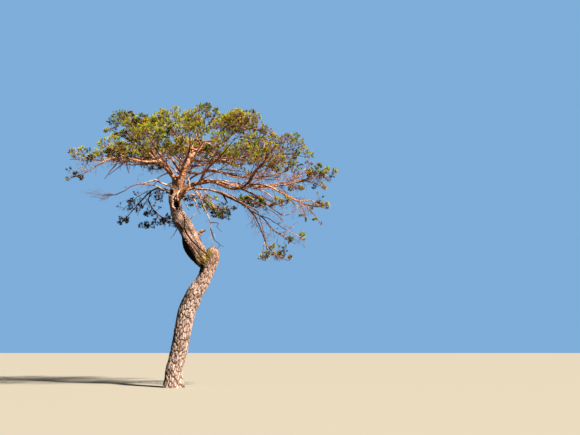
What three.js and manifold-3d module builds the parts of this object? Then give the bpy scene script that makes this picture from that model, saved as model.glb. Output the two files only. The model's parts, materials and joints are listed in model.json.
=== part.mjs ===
// An old scots pine: a trunk that leans, turns at a burl and forks into boughs under a flat, open,
// wind-shaped crown of separate masses of needles, with a few dead limbs below it.
// Millimetres, +Z up. The origin is the middle of the trunk's flat cut at ground level. Seen from
// the front, -Y is towards the viewer and +X is to the right.

import * as THREE from "three";
import { mergeVertices } from "three/addons/utils/BufferGeometryUtils.js";
import Module from "manifold-3d";

const wasm = await Module();
wasm.setup();

// Driving dimensions
const GROUND_RADIUS = 300;
const FLARE_LOBES = 5;
const FLARE_DEPTH = 0.06;
const FLARE_HEIGHT = 450;
const TRUNK_SIDES = 13;
const LIMB_SIDES = 6;
const SIDE_LIMB_SIDES = 5;
const SNAG_SIDES = 6;
const STEPS_PER_SPAN = 2;
const CLEARANCE = 0.3;

// Sizes of a mass of needles: half its length, half its width and half its height
const PAD_LARGE = [880, 820, 440];
const PAD_MEDIUM = [760, 700, 410];
const PAD_SMALL = [560, 520, 330];
const PAD_TINY = [450, 420, 270];
const PAD_FLAT = [620, 450, 260];
const PAD_PEAK = [470, 470, 370];
const PAD_FAR = [530, 440, 310];
const PAD_LOW = [500, 450, 350];
const PAD_SHADE = [580, 520, 400];
const PAD_UNDER = [520, 420, 290];
const PAD_LEAST = [360, 320, 190];
const TWIGS_LEVEL = [520, 260, 170];
const TWIGS_HANGING = [300, 220, 330];

// A limb's tip is in proportion to the mass it carries, and its root carries all that leaves it
const TIP_PER_SPREAD = 0.036;
const TAPER_PER_METRE = 0.09;
const BARE_TIP_RADIUS = 13;

// A shoot is a twig that ends in a spray of needles. One spray stands for several real ones, and
// its size goes with the height of its mass.
const SPRAY_PER_HEIGHT = 0.95;
const SHORTEST_SPRAY = 0.6;
const SPRAY_SLIMNESS = 0.58;
const SPRAY_CORE = 24;
const SPRAY_GAP = 0.8;
const TWIG_GAP = 0.42;
const TWIG_RADIUS = 13;
const TWIG_TIP_RADIUS = 9;
const TWIG_PER_PLACE = 0.85;
const BARE_SHARE = 0.4;
const SPRAY_PER_REACH = 0.85;
const SHOOT_LIFT = 0.35;
const TURN_COST = 0.5;
const SPACE_MARGIN = 0.04;
const LIMB_MARGIN = 12;
const SHOOTS_PER_METRE = 11;
const TARGETS_TRIED = 140;
const FIRST_SEED = 1000;
const SEED_STEP = 37;

// Two whorls of needles on a spray, as shares of its length and of its reach: where the core lies
// between the needles, where their points lie, and how far those stand out
const FIRST_WHORL = { back: 0.3, ahead: 0.55, out: 1 };
const SECOND_WHORL = { back: 0.68, ahead: 0.92, out: 0.8 };

// The stem of a mass: its sides and pieces, how far past the heart it goes as a share of the way
// to it, its root as a share of its limb's tip, and how far it holds its limb's direction
const STEM_SIDES = 4;
const STEM_PIECES = 4;
const STEM_OVERSHOOT = 0.2;
const STEM_PER_TIP = 0.92;
const BEND_HOLD = 0.4;

// Steps that spread points evenly over a space, one for each of its three measures
const HEIGHT_STEP = 0.7548776662;
const TURN_STEP = 0.569840291;
const DEPTH_STEP = 0.6180339887;
const LOWEST_TARGET = -0.5;
const NEAREST_TARGET = 0.62;
const FURTHEST_TARGET = 0.97;

// Corners closer than this are one corner
const WELD = 0.01;
const UP = new THREE.Vector3(0, 0, 1);

const barkTrunk = new THREE.MeshStandardMaterial({ color: 0x8d7668, roughness: 0.95, metalness: 0 });
const barkBough = new THREE.MeshStandardMaterial({ color: 0xb4703f, roughness: 0.85, metalness: 0 });
const deadWood = new THREE.MeshStandardMaterial({ color: 0xc8a684, roughness: 0.9, metalness: 0 });
const needles = new THREE.MeshStandardMaterial({ color: 0x6a7a30, roughness: 0.7, metalness: 0 });

// A number drawn in order from one seed, between 0 and 1
function seeded(seed) {
  let state = seed;
  return () => {
    state = (state * 48271) % 2147483647;
    return state / 2147483647;
  };
}

function vector(point) {
  return new THREE.Vector3(point[0], point[1], point[2]);
}

// The smooth line through some points, sampled evenly on each span; a point may carry a radius
function smoothLine(points) {
  const ahead = (a, b) => a.map((value, k) => 2 * value - b[k]);
  const all = [ahead(points[0], points[1]), ...points, ahead(points.at(-1), points.at(-2))];
  const line = [];
  for (let span = 0; span < points.length - 1; span += 1) {
    const [a, b, c, d] = all.slice(span, span + 4);
    for (let step = 0; step < STEPS_PER_SPAN; step += 1) {
      const t = step / STEPS_PER_SPAN;
      line.push(b.map((value, k) => value
        + 0.5 * t * (c[k] - a[k]
        + t * (2 * a[k] - 5 * b[k] + 4 * c[k] - d[k]
        + t * (3 * (b[k] - c[k]) + d[k] - a[k])))));
    }
  }
  line.push([...points.at(-1)]);
  return line;
}

// Directions along a line, and a pair of axes across it that turn with it and never twist. The
// first axis is close to X, or to Y where the line itself runs along X.
function framesAlong(line) {
  const centres = line.map(vector);
  const frames = [];
  let across = null;
  centres.forEach((centre, k) => {
    const before = centres[Math.max(k - 1, 0)];
    const after = centres[Math.min(k + 1, centres.length - 1)];
    const along = after.clone().sub(before).normalize();
    if (!across) {
      across = Math.abs(along.x) < 0.9 ? new THREE.Vector3(1, 0, 0) : new THREE.Vector3(0, 1, 0);
    }
    across = across.clone().addScaledVector(along, -across.dot(along)).normalize();
    frames.push({ centre, along, across, side: along.clone().cross(across) });
  });
  return frames;
}

// One ring of points round a frame; its radius may change with the angle
function ring(frame, sides, radiusAt) {
  return Array.from({ length: sides }, (_, k) => {
    const angle = (2 * Math.PI * k) / sides;
    const radius = radiusAt(angle);
    return frame.centre.clone()
      .addScaledVector(frame.across, radius * Math.cos(angle))
      .addScaledVector(frame.side, radius * Math.sin(angle));
  });
}

// The closed skin over a row of rings that all have the same number of points
function skin(rings) {
  const sides = rings[0].length;
  const positions = [];
  const push = (...corners) => corners.forEach((corner) => positions.push(corner.x, corner.y, corner.z));
  for (let k = 1; k < sides - 1; k += 1) {
    push(rings[0][0], rings[0][k + 1], rings[0][k]);
    push(rings.at(-1)[0], rings.at(-1)[k], rings.at(-1)[k + 1]);
  }
  for (let row = 0; row < rings.length - 1; row += 1) {
    for (let k = 0; k < sides; k += 1) {
      const next = (k + 1) % sides;
      push(rings[row][k], rings[row][next], rings[row + 1][next]);
      push(rings[row][k], rings[row + 1][next], rings[row + 1][k]);
    }
  }
  return toSolid(positions);
}

// A closed mesh as a solid, without the triangles that have shrunk to a line
function toSolid(positions) {
  const geometry = new THREE.BufferGeometry();
  geometry.setAttribute("position", new THREE.Float32BufferAttribute(positions, 3));
  const merged = mergeVertices(geometry, WELD);
  const index = merged.index.array;
  const triangles = [];
  for (let k = 0; k < index.length; k += 3) {
    const [a, b, c] = index.slice(k, k + 3);
    if (a !== b && b !== c && c !== a) {
      triangles.push(a, b, c);
    }
  }
  return new wasm.Manifold(new wasm.Mesh({
    numProp: 3,
    vertProperties: new Float32Array(merged.attributes.position.array),
    triVerts: new Uint32Array(triangles),
  }));
}

// The largest piece of a solid, with its sealed hollows filled and its loose scraps dropped
function largestPiece(solid) {
  return solid.decompose().reduce((best, piece) => (piece.volume() > best.volume() ? piece : best));
}

function fuse(solids) {
  return solids.reduce((joined, solid) => joined.add(solid));
}

// A solid as a named mesh whose own origin is the point where it grows from
function placed(name, solid, origin, material) {
  const { vertProperties, triVerts } = solid.getMesh();
  const geometry = new THREE.BufferGeometry();
  geometry.setAttribute("position", new THREE.Float32BufferAttribute(vertProperties, 3));
  geometry.setIndex(new THREE.Uint32BufferAttribute(triVerts, 1));
  geometry.translate(-origin.x, -origin.y, -origin.z);
  geometry.computeVertexNormals();
  const mesh = new THREE.Mesh(geometry, material);
  mesh.name = name;
  mesh.position.copy(origin);
  return mesh;
}

// The trunk's lower length, from the ground to the burl, as centre and radius
const LOWER_TRUNK = [
  [0, 0, 0, GROUND_RADIUS],
  [0, 0, 250, 246],
  [0, 0, 500, 222],
  [80, -5, 770, 219],
  [160, -20, 1190, 228],
  [225, -30, 1620, 234],
  [320, -50, 2060, 242],
  [495, -70, 2500, 232],
  [640, -85, 2740, 212],
  [775, -100, 2950, 192],
  [865, -110, 3180, 190],
  [940, -115, 3400, 212],
  [985, -118, 3630, 206],
  [1000, -115, 3820, 110],
];

// Its upper length, from inside the burl to the fork
const UPPER_TRUNK = [
  [860, -115, 3370, 190],
  [700, -110, 3540, 225],
  [500, -98, 3800, 258],
  [400, -85, 4000, 256],
  [325, -70, 4220, 215],
  [210, -48, 4450, 204],
  [55, -15, 4680, 195],
  [-80, 5, 4920, 177],
  [-150, 20, 5210, 173],
  [-150, 30, 5480, 170],
  [-60, 42, 5740, 178],
  [-20, 48, 5890, 128],
];

// Broken stubs that stand on the trunk, as centre and radius
const SNAGS = [
  [[330, -70, 4180, 60], [580, -110, 4270, 44], [780, -190, 4350, 16]],
  [[80, -20, 4600, 24], [290, 10, 4690, 17], [450, 50, 4850, 9]],
];

// How much wider the trunk is at an angle round it, on the lobes of its flared foot
function flare(height, angle) {
  return 1 + FLARE_DEPTH * Math.exp(-height / FLARE_HEIGHT) * Math.cos(FLARE_LOBES * angle);
}

// A limb's skin over its line of centres and radii, made larger on every side by some margin
function limbSolid(line, sides, margin = 0, outline = () => 1) {
  const grow = margin / Math.cos(Math.PI / sides);
  const frames = framesAlong(line);
  frames[0].centre.addScaledVector(frames[0].along, -margin);
  frames.at(-1).centre.addScaledVector(frames.at(-1).along, margin);
  return skin(frames.map((frame, k) => {
    const [, , height, radius] = line[k];
    return ring(frame, sides, (angle) => radius * outline(height, angle) + grow);
  }));
}

const lowerLine = smoothLine(LOWER_TRUNK);
const upperLine = smoothLine(UPPER_TRUNK);
const snagLines = SNAGS.map(smoothLine);

function trunkSolid(margin) {
  return fuse([
    limbSolid(lowerLine, TRUNK_SIDES, margin, flare),
    limbSolid(upperLine, TRUNK_SIDES, margin),
    ...snagLines.map((line) => limbSolid(line, SNAG_SIDES, margin)),
  ]);
}

// Every limb: what it leaves, its route from inside that, and the mass at its tip. A mass has its
// heart and its size. Limbs are in the order in which they are cut to fit round each other.
const LIMBS = [
  {
    name: "bough_leader", parent: "trunk",
    route: [[-20, 45, 5880], [110, 30, 6110], [200, 0, 6330], [300, 40, 6610], [490, 90, 6790],
      [550, 100, 6960], [420, 100, 7130], [370, 100, 7290]],
    mass: { name: "needles_crown_top", heart: [-80, 100, 7690], size: PAD_LARGE },
  },
  {
    name: "bough_left", parent: "trunk",
    route: [[-110, 30, 5560], [-190, -20, 5920], [-400, -90, 6160], [-600, -180, 6380],
      [-750, -260, 6560], [-740, -320, 6750], [-700, -340, 6920]],
    mass: { name: "needles_left_centre", heart: [-950, -350, 7360], size: PAD_LARGE },
  },
  {
    name: "bough_right", parent: "trunk",
    route: [[-120, 20, 5380], [290, -100, 5640], [830, -250, 5740], [1120, -300, 5670],
      [1590, -350, 5500], [1990, -350, 5650], [2170, -360, 5980], [2450, -400, 6260],
      [2790, -400, 6480]],
    mass: { name: "needles_right_shoulder", heart: [3130, -400, 6810], size: PAD_SMALL },
  },
  {
    name: "bough_droop", parent: "trunk",
    route: [[-140, 10, 5180], [240, -240, 5480], [810, -440, 5440], [1180, -500, 5330],
      [1810, -590, 5000], [2110, -640, 4760], [2330, -670, 4380], [2500, -700, 3930]],
    mass: { name: "needles_droop", heart: [2780, -700, 3620], size: PAD_TINY },
  },
  {
    name: "bough_front", parent: "trunk",
    route: [[-40, 40, 5820], [60, -300, 6030], [260, -800, 6200], [420, -1270, 6290]],
    mass: { name: "needles_front", heart: [520, -2050, 6480], size: PAD_LARGE },
  },
  {
    name: "bough_back", parent: "trunk",
    route: [[-60, 40, 5780], [-60, 420, 6120], [-20, 900, 6600], [-50, 1450, 6960]],
    mass: { name: "needles_back", heart: [-100, 2150, 7420], size: PAD_LARGE },
  },
  {
    name: "bough_far_left", parent: "bough_left",
    route: [[-720, -240, 6510], [-1200, -330, 6360], [-1750, -420, 6350], [-2180, -490, 6300]],
    mass: { name: "needles_far_left", heart: [-2770, -500, 6420], size: PAD_FLAT },
  },
  {
    name: "bough_left_high", parent: "bough_left",
    route: [[-750, -300, 6660], [-980, -120, 6720], [-1240, 80, 6800], [-1480, 240, 7060]],
    mass: { name: "needles_left_top", heart: [-1860, 350, 7640], size: PAD_MEDIUM },
  },
  {
    name: "bough_left_front", parent: "bough_left",
    route: [[-560, -160, 6330], [-700, -480, 6240], [-960, -800, 6170], [-1150, -1020, 6150]],
    mass: { name: "needles_left_front", heart: [-1560, -1600, 6260], size: PAD_LARGE },
  },
  {
    name: "bough_front_left", parent: "bough_left",
    route: [[-220, -30, 5980], [-260, -420, 6080], [-340, -900, 6200], [-410, -1330, 6280]],
    mass: { name: "needles_front_left", heart: [-480, -1950, 6400], size: PAD_MEDIUM },
  },
  {
    name: "bough_back_left", parent: "bough_left",
    route: [[-330, -70, 6100], [-560, 380, 6320], [-980, 820, 6600], [-1380, 1230, 6830]],
    mass: { name: "needles_back_left", heart: [-2050, 1850, 7150], size: PAD_LARGE },
  },
  {
    name: "bough_back_right", parent: "bough_leader",
    route: [[190, 10, 6290], [440, 480, 6420], [800, 950, 6660], [1130, 1320, 6850]],
    mass: { name: "needles_back_right", heart: [1700, 1900, 7120], size: PAD_LARGE },
  },
  {
    name: "bough_right_high", parent: "bough_leader",
    route: [[480, 90, 6780], [820, 0, 6800], [1160, -170, 6880], [1530, -370, 7120]],
    mass: { name: "needles_right_top", heart: [1860, -500, 7470], size: PAD_MEDIUM },
  },
  {
    name: "bough_top_right", parent: "bough_leader",
    route: [[540, 100, 6930], [760, 230, 7080], [930, 340, 7240], [1060, 420, 7440]],
    mass: { name: "needles_top_right", heart: [1330, 500, 7740], size: PAD_MEDIUM },
  },
  {
    name: "bough_peak", parent: "bough_leader",
    route: [[440, 100, 7110], [560, 60, 7240], [620, 20, 7420], [640, 0, 7560]],
    mass: { name: "needles_peak", heart: [680, 0, 7890], size: PAD_PEAK },
  },
  {
    name: "bough_curl", parent: "bough_leader",
    route: [[240, 20, 6450], [470, -110, 6390], [760, -120, 6370], [1180, 180, 6470], [1630, 480, 6400],
      [1930, 620, 6700]],
    mass: { name: "needles_right_mid", heart: [2320, 650, 7130], size: PAD_MEDIUM },
  },
  {
    name: "bough_right_middle", parent: "bough_leader",
    route: [[100, 30, 6090], [420, 540, 6190], [860, 740, 6330], [1400, 840, 6230], [1960, 950, 6160],
      [2420, 1040, 6230]],
    mass: { name: "needles_right_middle", heart: [3120, 1150, 6480], size: PAD_LARGE },
  },
  {
    name: "bough_front_right", parent: "bough_right",
    route: [[560, -180, 5700], [740, -560, 5850], [980, -980, 5990], [1160, -1250, 6050]],
    mass: { name: "needles_front_right", heart: [1600, -1900, 6220], size: PAD_LARGE },
  },
  {
    name: "bough_right_front", parent: "bough_right",
    route: [[2090, -355, 5800], [2170, -530, 5890], [2270, -740, 5950], [2350, -900, 5980]],
    mass: { name: "needles_right_front", heart: [2570, -1450, 6080], size: PAD_MEDIUM },
  },
  {
    name: "bough_far_right", parent: "bough_right",
    route: [[1880, -350, 5570], [2420, -320, 5560], [3000, -300, 5610], [3560, -300, 5760]],
    mass: { name: "needles_far_right", heart: [4060, -300, 5920], size: PAD_FAR },
  },
  {
    name: "bough_right_under", parent: "bough_right",
    route: [[1700, -350, 5500], [2130, -480, 5310], [2440, -580, 5060], [2620, -630, 4960]],
    mass: { name: "needles_right_under", heart: [3000, -700, 4900], size: PAD_TINY },
  },
  {
    name: "bough_right_low", parent: "bough_far_right",
    route: [[2560, -315, 5565], [2850, -380, 5440], [3190, -400, 5230], [3480, -400, 5080]],
    mass: { name: "needles_right_low", heart: [3900, -400, 4920], size: PAD_LOW },
  },
  {
    name: "bough_droop_outer", parent: "bough_droop",
    route: [[2080, -635, 4790], [2420, -640, 4600], [2690, -660, 4270], [3060, -700, 4030]],
    mass: { name: "needles_droop_outer", heart: [3470, -710, 3965], size: PAD_TINY },
  },
  {
    name: "bough_far_left_low", parent: "bough_far_left",
    route: [[-2020, -465, 6320], [-2300, -520, 6120], [-2520, -540, 5950], [-2680, -530, 5890]],
    mass: { name: "needles_far_left_low", heart: [-3000, -500, 5880], size: PAD_LEAST },
  },
  {
    name: "bough_shade_left", parent: "trunk",
    route: [[-150, 20, 5300], [-430, 420, 5620], [-870, 820, 5800], [-1230, 1170, 5680],
      [-1470, 1400, 5520]],
    mass: { name: "needles_shade_left", heart: [-1850, 1600, 5310], size: PAD_SHADE },
  },
  {
    name: "bough_shade_low", parent: "bough_shade_left",
    route: [[-1080, 1030, 5750], [-1170, 1200, 5500], [-1080, 1270, 5290], [-950, 1290, 5160]],
    mass: { name: "needles_shade_low", heart: [-700, 1300, 4980], size: PAD_TINY },
  },
  {
    name: "bough_under", parent: "trunk",
    route: [[-120, 20, 5200], [200, 180, 5440], [480, 300, 5430], [680, 390, 5250]],
    mass: { name: "needles_under", heart: [900, 560, 5030], size: PAD_UNDER },
  },
  {
    name: "dead_limb_left", parent: "trunk",
    route: [[-160, 20, 5420], [-590, -230, 5560], [-870, -270, 5620], [-1190, -300, 5620],
      [-1560, -300, 5430], [-1800, -300, 5320]],
    mass: { name: "dead_twigs_left", heart: [-2280, -300, 5330], size: TWIGS_LEVEL, bare: true },
  },
  {
    name: "dead_limb_hanging", parent: "bough_droop",
    route: [[420, -320, 5480], [620, -560, 5260], [780, -620, 4900],
      [960, -640, 4480], [1000, -640, 4230]],
    mass: { name: "dead_twigs_hanging", heart: [1110, -640, 3920], size: TWIGS_HANGING, bare: true },
  },
];

function lineLength(line) {
  let length = 0;
  for (let k = 1; k < line.length; k += 1) {
    length += vector(line[k]).distanceTo(vector(line[k - 1]));
  }
  return length;
}

function tipRadius(limb) {
  const { size, bare } = limb.mass;
  return bare ? BARE_TIP_RADIUS : TIP_PER_SPREAD * Math.sqrt(size[0] * size[1]);
}

// A root's section is the sum of the sections of all that the limb carries, and a little more
function rootRadius(limb) {
  const carried = LIMBS.filter((other) => other.parent === limb.name).map(rootRadius);
  const taper = 1 + (TAPER_PER_METRE * lineLength(limb.route)) / 1000;
  return Math.hypot(tipRadius(limb), ...carried) * taper;
}

// A limb's centres and radii, from its root to its tip
function limbLine(limb) {
  const line = smoothLine(limb.route);
  const length = lineLength(line);
  const root = rootRadius(limb);
  const tip = tipRadius(limb);
  return line.map((point, k) => {
    const share = lineLength(line.slice(0, k + 1)) / length;
    return [...point, root + (tip - root) * share];
  });
}

function sidesOf(limb) {
  return limb.parent === "trunk" ? LIMB_SIDES : SIDE_LIMB_SIDES;
}

// The shortest distance from a point to a line of centres, less the radius there
function gapToLine(point, line) {
  let gap = Infinity;
  const foot = new THREE.Vector3();
  for (let k = 1; k < line.length; k += 1) {
    const piece = new THREE.Line3(vector(line[k - 1]), vector(line[k]));
    const share = piece.closestPointToPointParameter(point, true);
    piece.at(share, foot);
    const radius = line[k - 1][3] + (line[k][3] - line[k - 1][3]) * share;
    gap = Math.min(gap, foot.distanceTo(point) - radius);
  }
  return gap;
}

// How far a point lies from a mass's heart, where 1 is the edge of the mass's space
function depthIn(mass, point) {
  const offset = point.clone().sub(vector(mass.heart)).divide(vector(mass.size));
  return offset.length();
}

// The place that the rule gives to a shoot's tip, for a count and the mass's own phases
function shootTarget(mass, count, phases) {
  const fraction = (value) => value - Math.floor(value);
  const height = LOWEST_TARGET + (1 - LOWEST_TARGET) * fraction(phases[0] + HEIGHT_STEP * count);
  const turn = 2 * Math.PI * fraction(phases[1] + TURN_STEP * count);
  const share = Math.sqrt(fraction(phases[2] + DEPTH_STEP * count));
  const depth = NEAREST_TARGET + (FURTHEST_TARGET - NEAREST_TARGET) * share;
  const flat = Math.sqrt(1 - height * height);
  return new THREE.Vector3(flat * Math.cos(turn), flat * Math.sin(turn), height)
    .multiplyScalar(depth).multiply(vector(mass.size)).add(vector(mass.heart));
}

// The point of a curve that leaves a start along a direction and bends to an end
function bend(start, heading, end, share) {
  const middle = start.clone().addScaledVector(heading, BEND_HOLD * start.distanceTo(end));
  return start.clone().multiplyScalar((1 - share) ** 2)
    .addScaledVector(middle, 2 * share * (1 - share))
    .addScaledVector(end, share ** 2);
}

// The one stem of a mass, from just beyond its limb's tip to past the mass's heart: a row of
// frames with a radius each, the first square to the limb's end
function stemFrames(mass, tip, tipSize) {
  const start = tip.centre.clone().addScaledVector(tip.along, CLEARANCE);
  const end = vector(mass.heart).lerp(start, -STEM_OVERSHOOT);
  const shares = Array.from({ length: STEM_PIECES + 1 }, (_, k) => k / STEM_PIECES);
  const line = shares.map((share) => bend(start, tip.along, end, share).toArray());
  const frames = framesAlong(line);
  frames[0] = { ...tip, centre: start };
  return frames.map((frame, k) => ({ ...frame, radius: tipSize + (TWIG_RADIUS - tipSize) * shares[k] }));
}

// Six points round a spray at a whorl of needles: every other one stands out, and those between
// stay at the core, further back
function whorl(neck, target, axis, shape, odd) {
  const { across } = framesAlong([neck.toArray(), target.toArray()])[0];
  const side = axis.clone().cross(across);
  const length = neck.distanceTo(target);
  return Array.from({ length: 6 }, (_, k) => {
    const stands = (k % 2 === 0) !== odd;
    const angle = (Math.PI / 3) * (k + 0.5);
    const size = stands ? shape.out * SPRAY_SLIMNESS * length : SPRAY_CORE;
    return neck.clone().addScaledVector(axis, (stands ? shape.ahead : shape.back) * length)
      .addScaledVector(across, size * Math.cos(angle))
      .addScaledVector(side, size * Math.sin(angle));
  });
}

// The rings of a shoot: a three-sided twig, then two whorls of needles turned a half step apart,
// then the tip. On a bare shoot the twig itself runs to the tip.
function shootRings(from, target, radius, length, bare) {
  const axis = target.clone().sub(from.centre).normalize();
  axis.addScaledVector(UP, bare ? 0 : SHOOT_LIFT).normalize();
  const neck = target.clone().addScaledVector(axis, -length);
  const halfWay = from.centre.clone().lerp(neck, 0.5);
  const frames = framesAlong([from.centre, halfWay, neck].map((point) => point.toArray()));
  const rings = [[frames[0], radius], [frames[2], TWIG_TIP_RADIUS]].map(([frame, size]) => (
    ring(frame, 3, () => size).flatMap((corner) => [corner, corner])));
  if (!bare) {
    rings.push(whorl(neck, target, axis, FIRST_WHORL, false));
    rings.push(whorl(neck, target, axis, SECOND_WHORL, true));
  }
  rings.push(Array.from({ length: 6 }, () => target));
  return { rings, length, places: frames.slice(1), middle: neck.clone().lerp(target, 0.5) };
}

// Points on a shoot's skin, close enough together that nothing slips between them
function pointsOn(rings) {
  return rings.slice(1).flatMap((row, above) => row.flatMap((point, k) => [
    point,
    point.clone().lerp(rings[above][k], 1 / 3),
    point.clone().lerp(rings[above][k], 2 / 3),
  ]));
}

const masses = LIMBS.map((limb) => limb.mass);

// Whether a shoot stays in its own mass's space and clear of every limb
function hasRoom(mass, rings, lines) {
  const start = rings[0][0];
  return pointsOn(rings).every((point) => {
    const depth = depthIn(mass, point);
    return (depth < 1 || point.distanceTo(start) < mass.size[2])
      && masses.every((other) => other === mass || depthIn(other, point) > depth + SPACE_MARGIN)
      && lines.every((line) => gapToLine(point, line) > LIMB_MARGIN);
  });
}

// Whether two shoots of a mass stand clear of each other's needles
function standApart(one, other) {
  const passes = (twig, spray) => twig.places.some((place) => (
    place.centre.distanceTo(spray.middle) < TWIG_GAP * spray.length));
  return one.middle.distanceTo(other.middle) > SPRAY_GAP * Math.min(one.length, other.length)
    && !passes(one, other) && !passes(other, one);
}

// Where the tips of a mass's shoots go: the first carries its stem on, the rest fill the space
function targetsOf(mass, stem, random) {
  const phases = [random(), random(), random()];
  const heart = vector(mass.heart);
  const onward = heart.clone().sub(stem[0].centre);
  const share = FURTHEST_TARGET / depthIn(mass, heart.clone().add(onward));
  const rest = Array.from({ length: TARGETS_TRIED }, (_, count) => shootTarget(mass, count, phases));
  return [heart.clone().addScaledVector(onward, share), ...rest];
}

// A mass of needles: each shoot leaves the nearest free place of what has grown so far
function growMass(mass, stem, lines, random) {
  const places = stem.slice(1);
  const solids = [skin(stem.map((frame) => ring(frame, STEM_SIDES, () => frame.radius)))];
  const longest = SPRAY_PER_HEIGHT * mass.size[2];
  const most = Math.round(SHOOTS_PER_METRE * Math.sqrt(mass.size[0] * mass.size[1]) / 1000);
  const shoots = [];
  for (const target of targetsOf(mass, stem, random)) {
    const cost = (place) => {
      const way = target.clone().sub(place.centre);
      return way.length() * (1 + TURN_COST * (1 - way.clone().normalize().dot(place.along)));
    };
    const from = places.reduce((best, place) => (cost(place) < cost(best) ? place : best));
    const reach = from.centre.distanceTo(target);
    const radius = Math.min(TWIG_RADIUS, TWIG_PER_PLACE * from.radius);
    const length = Math.min(longest, SPRAY_PER_REACH * reach);
    const end = mass.bare ? BARE_SHARE * reach : length;
    const shoot = shootRings(from, target, radius, end, mass.bare);
    const fits = length > SHORTEST_SPRAY * longest
      && shoots.every((other) => standApart(shoot, other))
      && hasRoom(mass, shoot.rings, lines);
    if (fits && shoots.length < most) {
      solids.push(skin(shoot.rings));
      shoots.push(shoot);
      places.splice(places.indexOf(from), 1);
      places.push(...shoot.places.map((frame) => ({ ...frame, radius: TWIG_TIP_RADIUS })));
    }
  }
  return largestPiece(fuse(solids));
}

const tree = new THREE.Group();
tree.add(placed("trunk", trunkSolid(0), new THREE.Vector3(), barkTrunk));

// Each limb is cut to stand clear of all that was placed before it
const limbLines = LIMBS.map(limbLine);
const inTheWay = [trunkSolid(CLEARANCE)];
LIMBS.forEach((limb, order) => {
  const whole = limbSolid(limbLines[order], sidesOf(limb));
  const cut = largestPiece(inTheWay.reduce((solid, other) => solid.subtract(other), whole));
  inTheWay.push(limbSolid(limbLines[order], sidesOf(limb), CLEARANCE));
  tree.add(placed(limb.name, cut, vector(limb.route[0]), limb.mass.bare ? deadWood : barkBough));
});

// Each mass grows on from its limb's tip, clear of every limb
const lines = [lowerLine, upperLine, ...snagLines, ...limbLines];
LIMBS.forEach((limb, order) => {
  const tip = framesAlong(limbLines[order]).at(-1);
  const stem = stemFrames(limb.mass, tip, STEM_PER_TIP * tipRadius(limb));
  const solid = growMass(limb.mass, stem, lines, seeded(FIRST_SEED + SEED_STEP * order));
  tree.add(placed(limb.mass.name, solid, stem[0].centre, limb.mass.bare ? deadWood : needles));
});

export default tree;
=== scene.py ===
import json
from collections import namedtuple

import bpy
import numpy as np
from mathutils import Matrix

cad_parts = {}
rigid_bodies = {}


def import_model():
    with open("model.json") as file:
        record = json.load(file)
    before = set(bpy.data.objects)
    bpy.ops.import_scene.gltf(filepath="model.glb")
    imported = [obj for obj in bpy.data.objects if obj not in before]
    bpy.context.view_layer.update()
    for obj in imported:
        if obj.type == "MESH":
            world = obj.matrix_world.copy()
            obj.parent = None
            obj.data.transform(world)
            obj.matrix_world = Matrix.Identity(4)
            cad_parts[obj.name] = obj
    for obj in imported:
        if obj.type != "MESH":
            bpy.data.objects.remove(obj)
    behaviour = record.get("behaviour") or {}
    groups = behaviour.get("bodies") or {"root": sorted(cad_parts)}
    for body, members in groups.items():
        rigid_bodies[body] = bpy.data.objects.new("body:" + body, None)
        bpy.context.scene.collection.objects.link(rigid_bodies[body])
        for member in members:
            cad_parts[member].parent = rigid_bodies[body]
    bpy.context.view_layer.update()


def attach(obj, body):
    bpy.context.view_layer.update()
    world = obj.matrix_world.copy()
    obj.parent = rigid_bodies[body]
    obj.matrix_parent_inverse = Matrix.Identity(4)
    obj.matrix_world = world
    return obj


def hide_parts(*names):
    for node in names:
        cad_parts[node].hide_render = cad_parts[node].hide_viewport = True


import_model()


# Camera
# It stands where the photograph was taken from: on open ground, a little below eye height, 18 m
# from the tree, looking slightly up.
CAMERA_PLACE = (3.18, -18.0, 1.0)
CAMERA_TILT = 11.697
CAMERA_LENS = 39.72

camera = bpy.data.objects.new("camera", bpy.data.cameras.new("camera"))
camera.data.lens = CAMERA_LENS
camera.location = CAMERA_PLACE
camera.rotation_euler = (np.radians(90 + CAMERA_TILT), 0, 0)
bpy.context.scene.collection.objects.link(camera)
bpy.context.scene.camera = camera


# Trunk
# An old pine's trunk: wood under thick bark that has cracked into long plates as it swelled. It
# leans, turns at a burl and comes back to a fork, and it stands on a flared foot. The lower length
# ends in the burl and the upper length leaves its side, each a closed skin sunk into the other.
# Stations are x, y, z and radius in metres, the same as the solid's.
LOWER_TRUNK = [
    (0, 0, 0, 0.3), (0, 0, 0.25, 0.246), (0, 0, 0.5, 0.222), (0.08, -0.005, 0.77, 0.219),
    (0.16, -0.02, 1.19, 0.228), (0.225, -0.03, 1.62, 0.234), (0.32, -0.05, 2.06, 0.242),
    (0.495, -0.07, 2.5, 0.232), (0.64, -0.085, 2.74, 0.212), (0.775, -0.1, 2.95, 0.192),
    (0.865, -0.11, 3.18, 0.19), (0.94, -0.115, 3.4, 0.212), (0.985, -0.118, 3.63, 0.206),
    (1, -0.115, 3.8, 0.135), (1, -0.115, 3.85, 0.05), (1, -0.115, 3.86, 0.004),
]
UPPER_TRUNK = [
    (0.86, -0.115, 3.37, 0.19), (0.7, -0.11, 3.54, 0.225), (0.5, -0.098, 3.8, 0.258),
    (0.4, -0.085, 4, 0.256), (0.325, -0.07, 4.22, 0.215), (0.21, -0.048, 4.45, 0.204),
    (0.055, -0.015, 4.68, 0.195), (-0.08, 0.005, 4.92, 0.177), (-0.15, 0.02, 5.21, 0.173),
    (-0.15, 0.03, 5.48, 0.17), (-0.06, 0.042, 5.74, 0.178), (-0.02, 0.048, 5.89, 0.128),
    (-0.02, 0.048, 5.95, 0.06), (-0.02, 0.048, 5.965, 0.004),
]
FLARE_LOBES = 5
FLARE_DEPTH = 0.06
FLARE_HEIGHT = 0.45
LEAST_RADIUS = 0.003
SMOOTH_BELOW = 0.08
FLAT_CUT = 0.001

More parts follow.
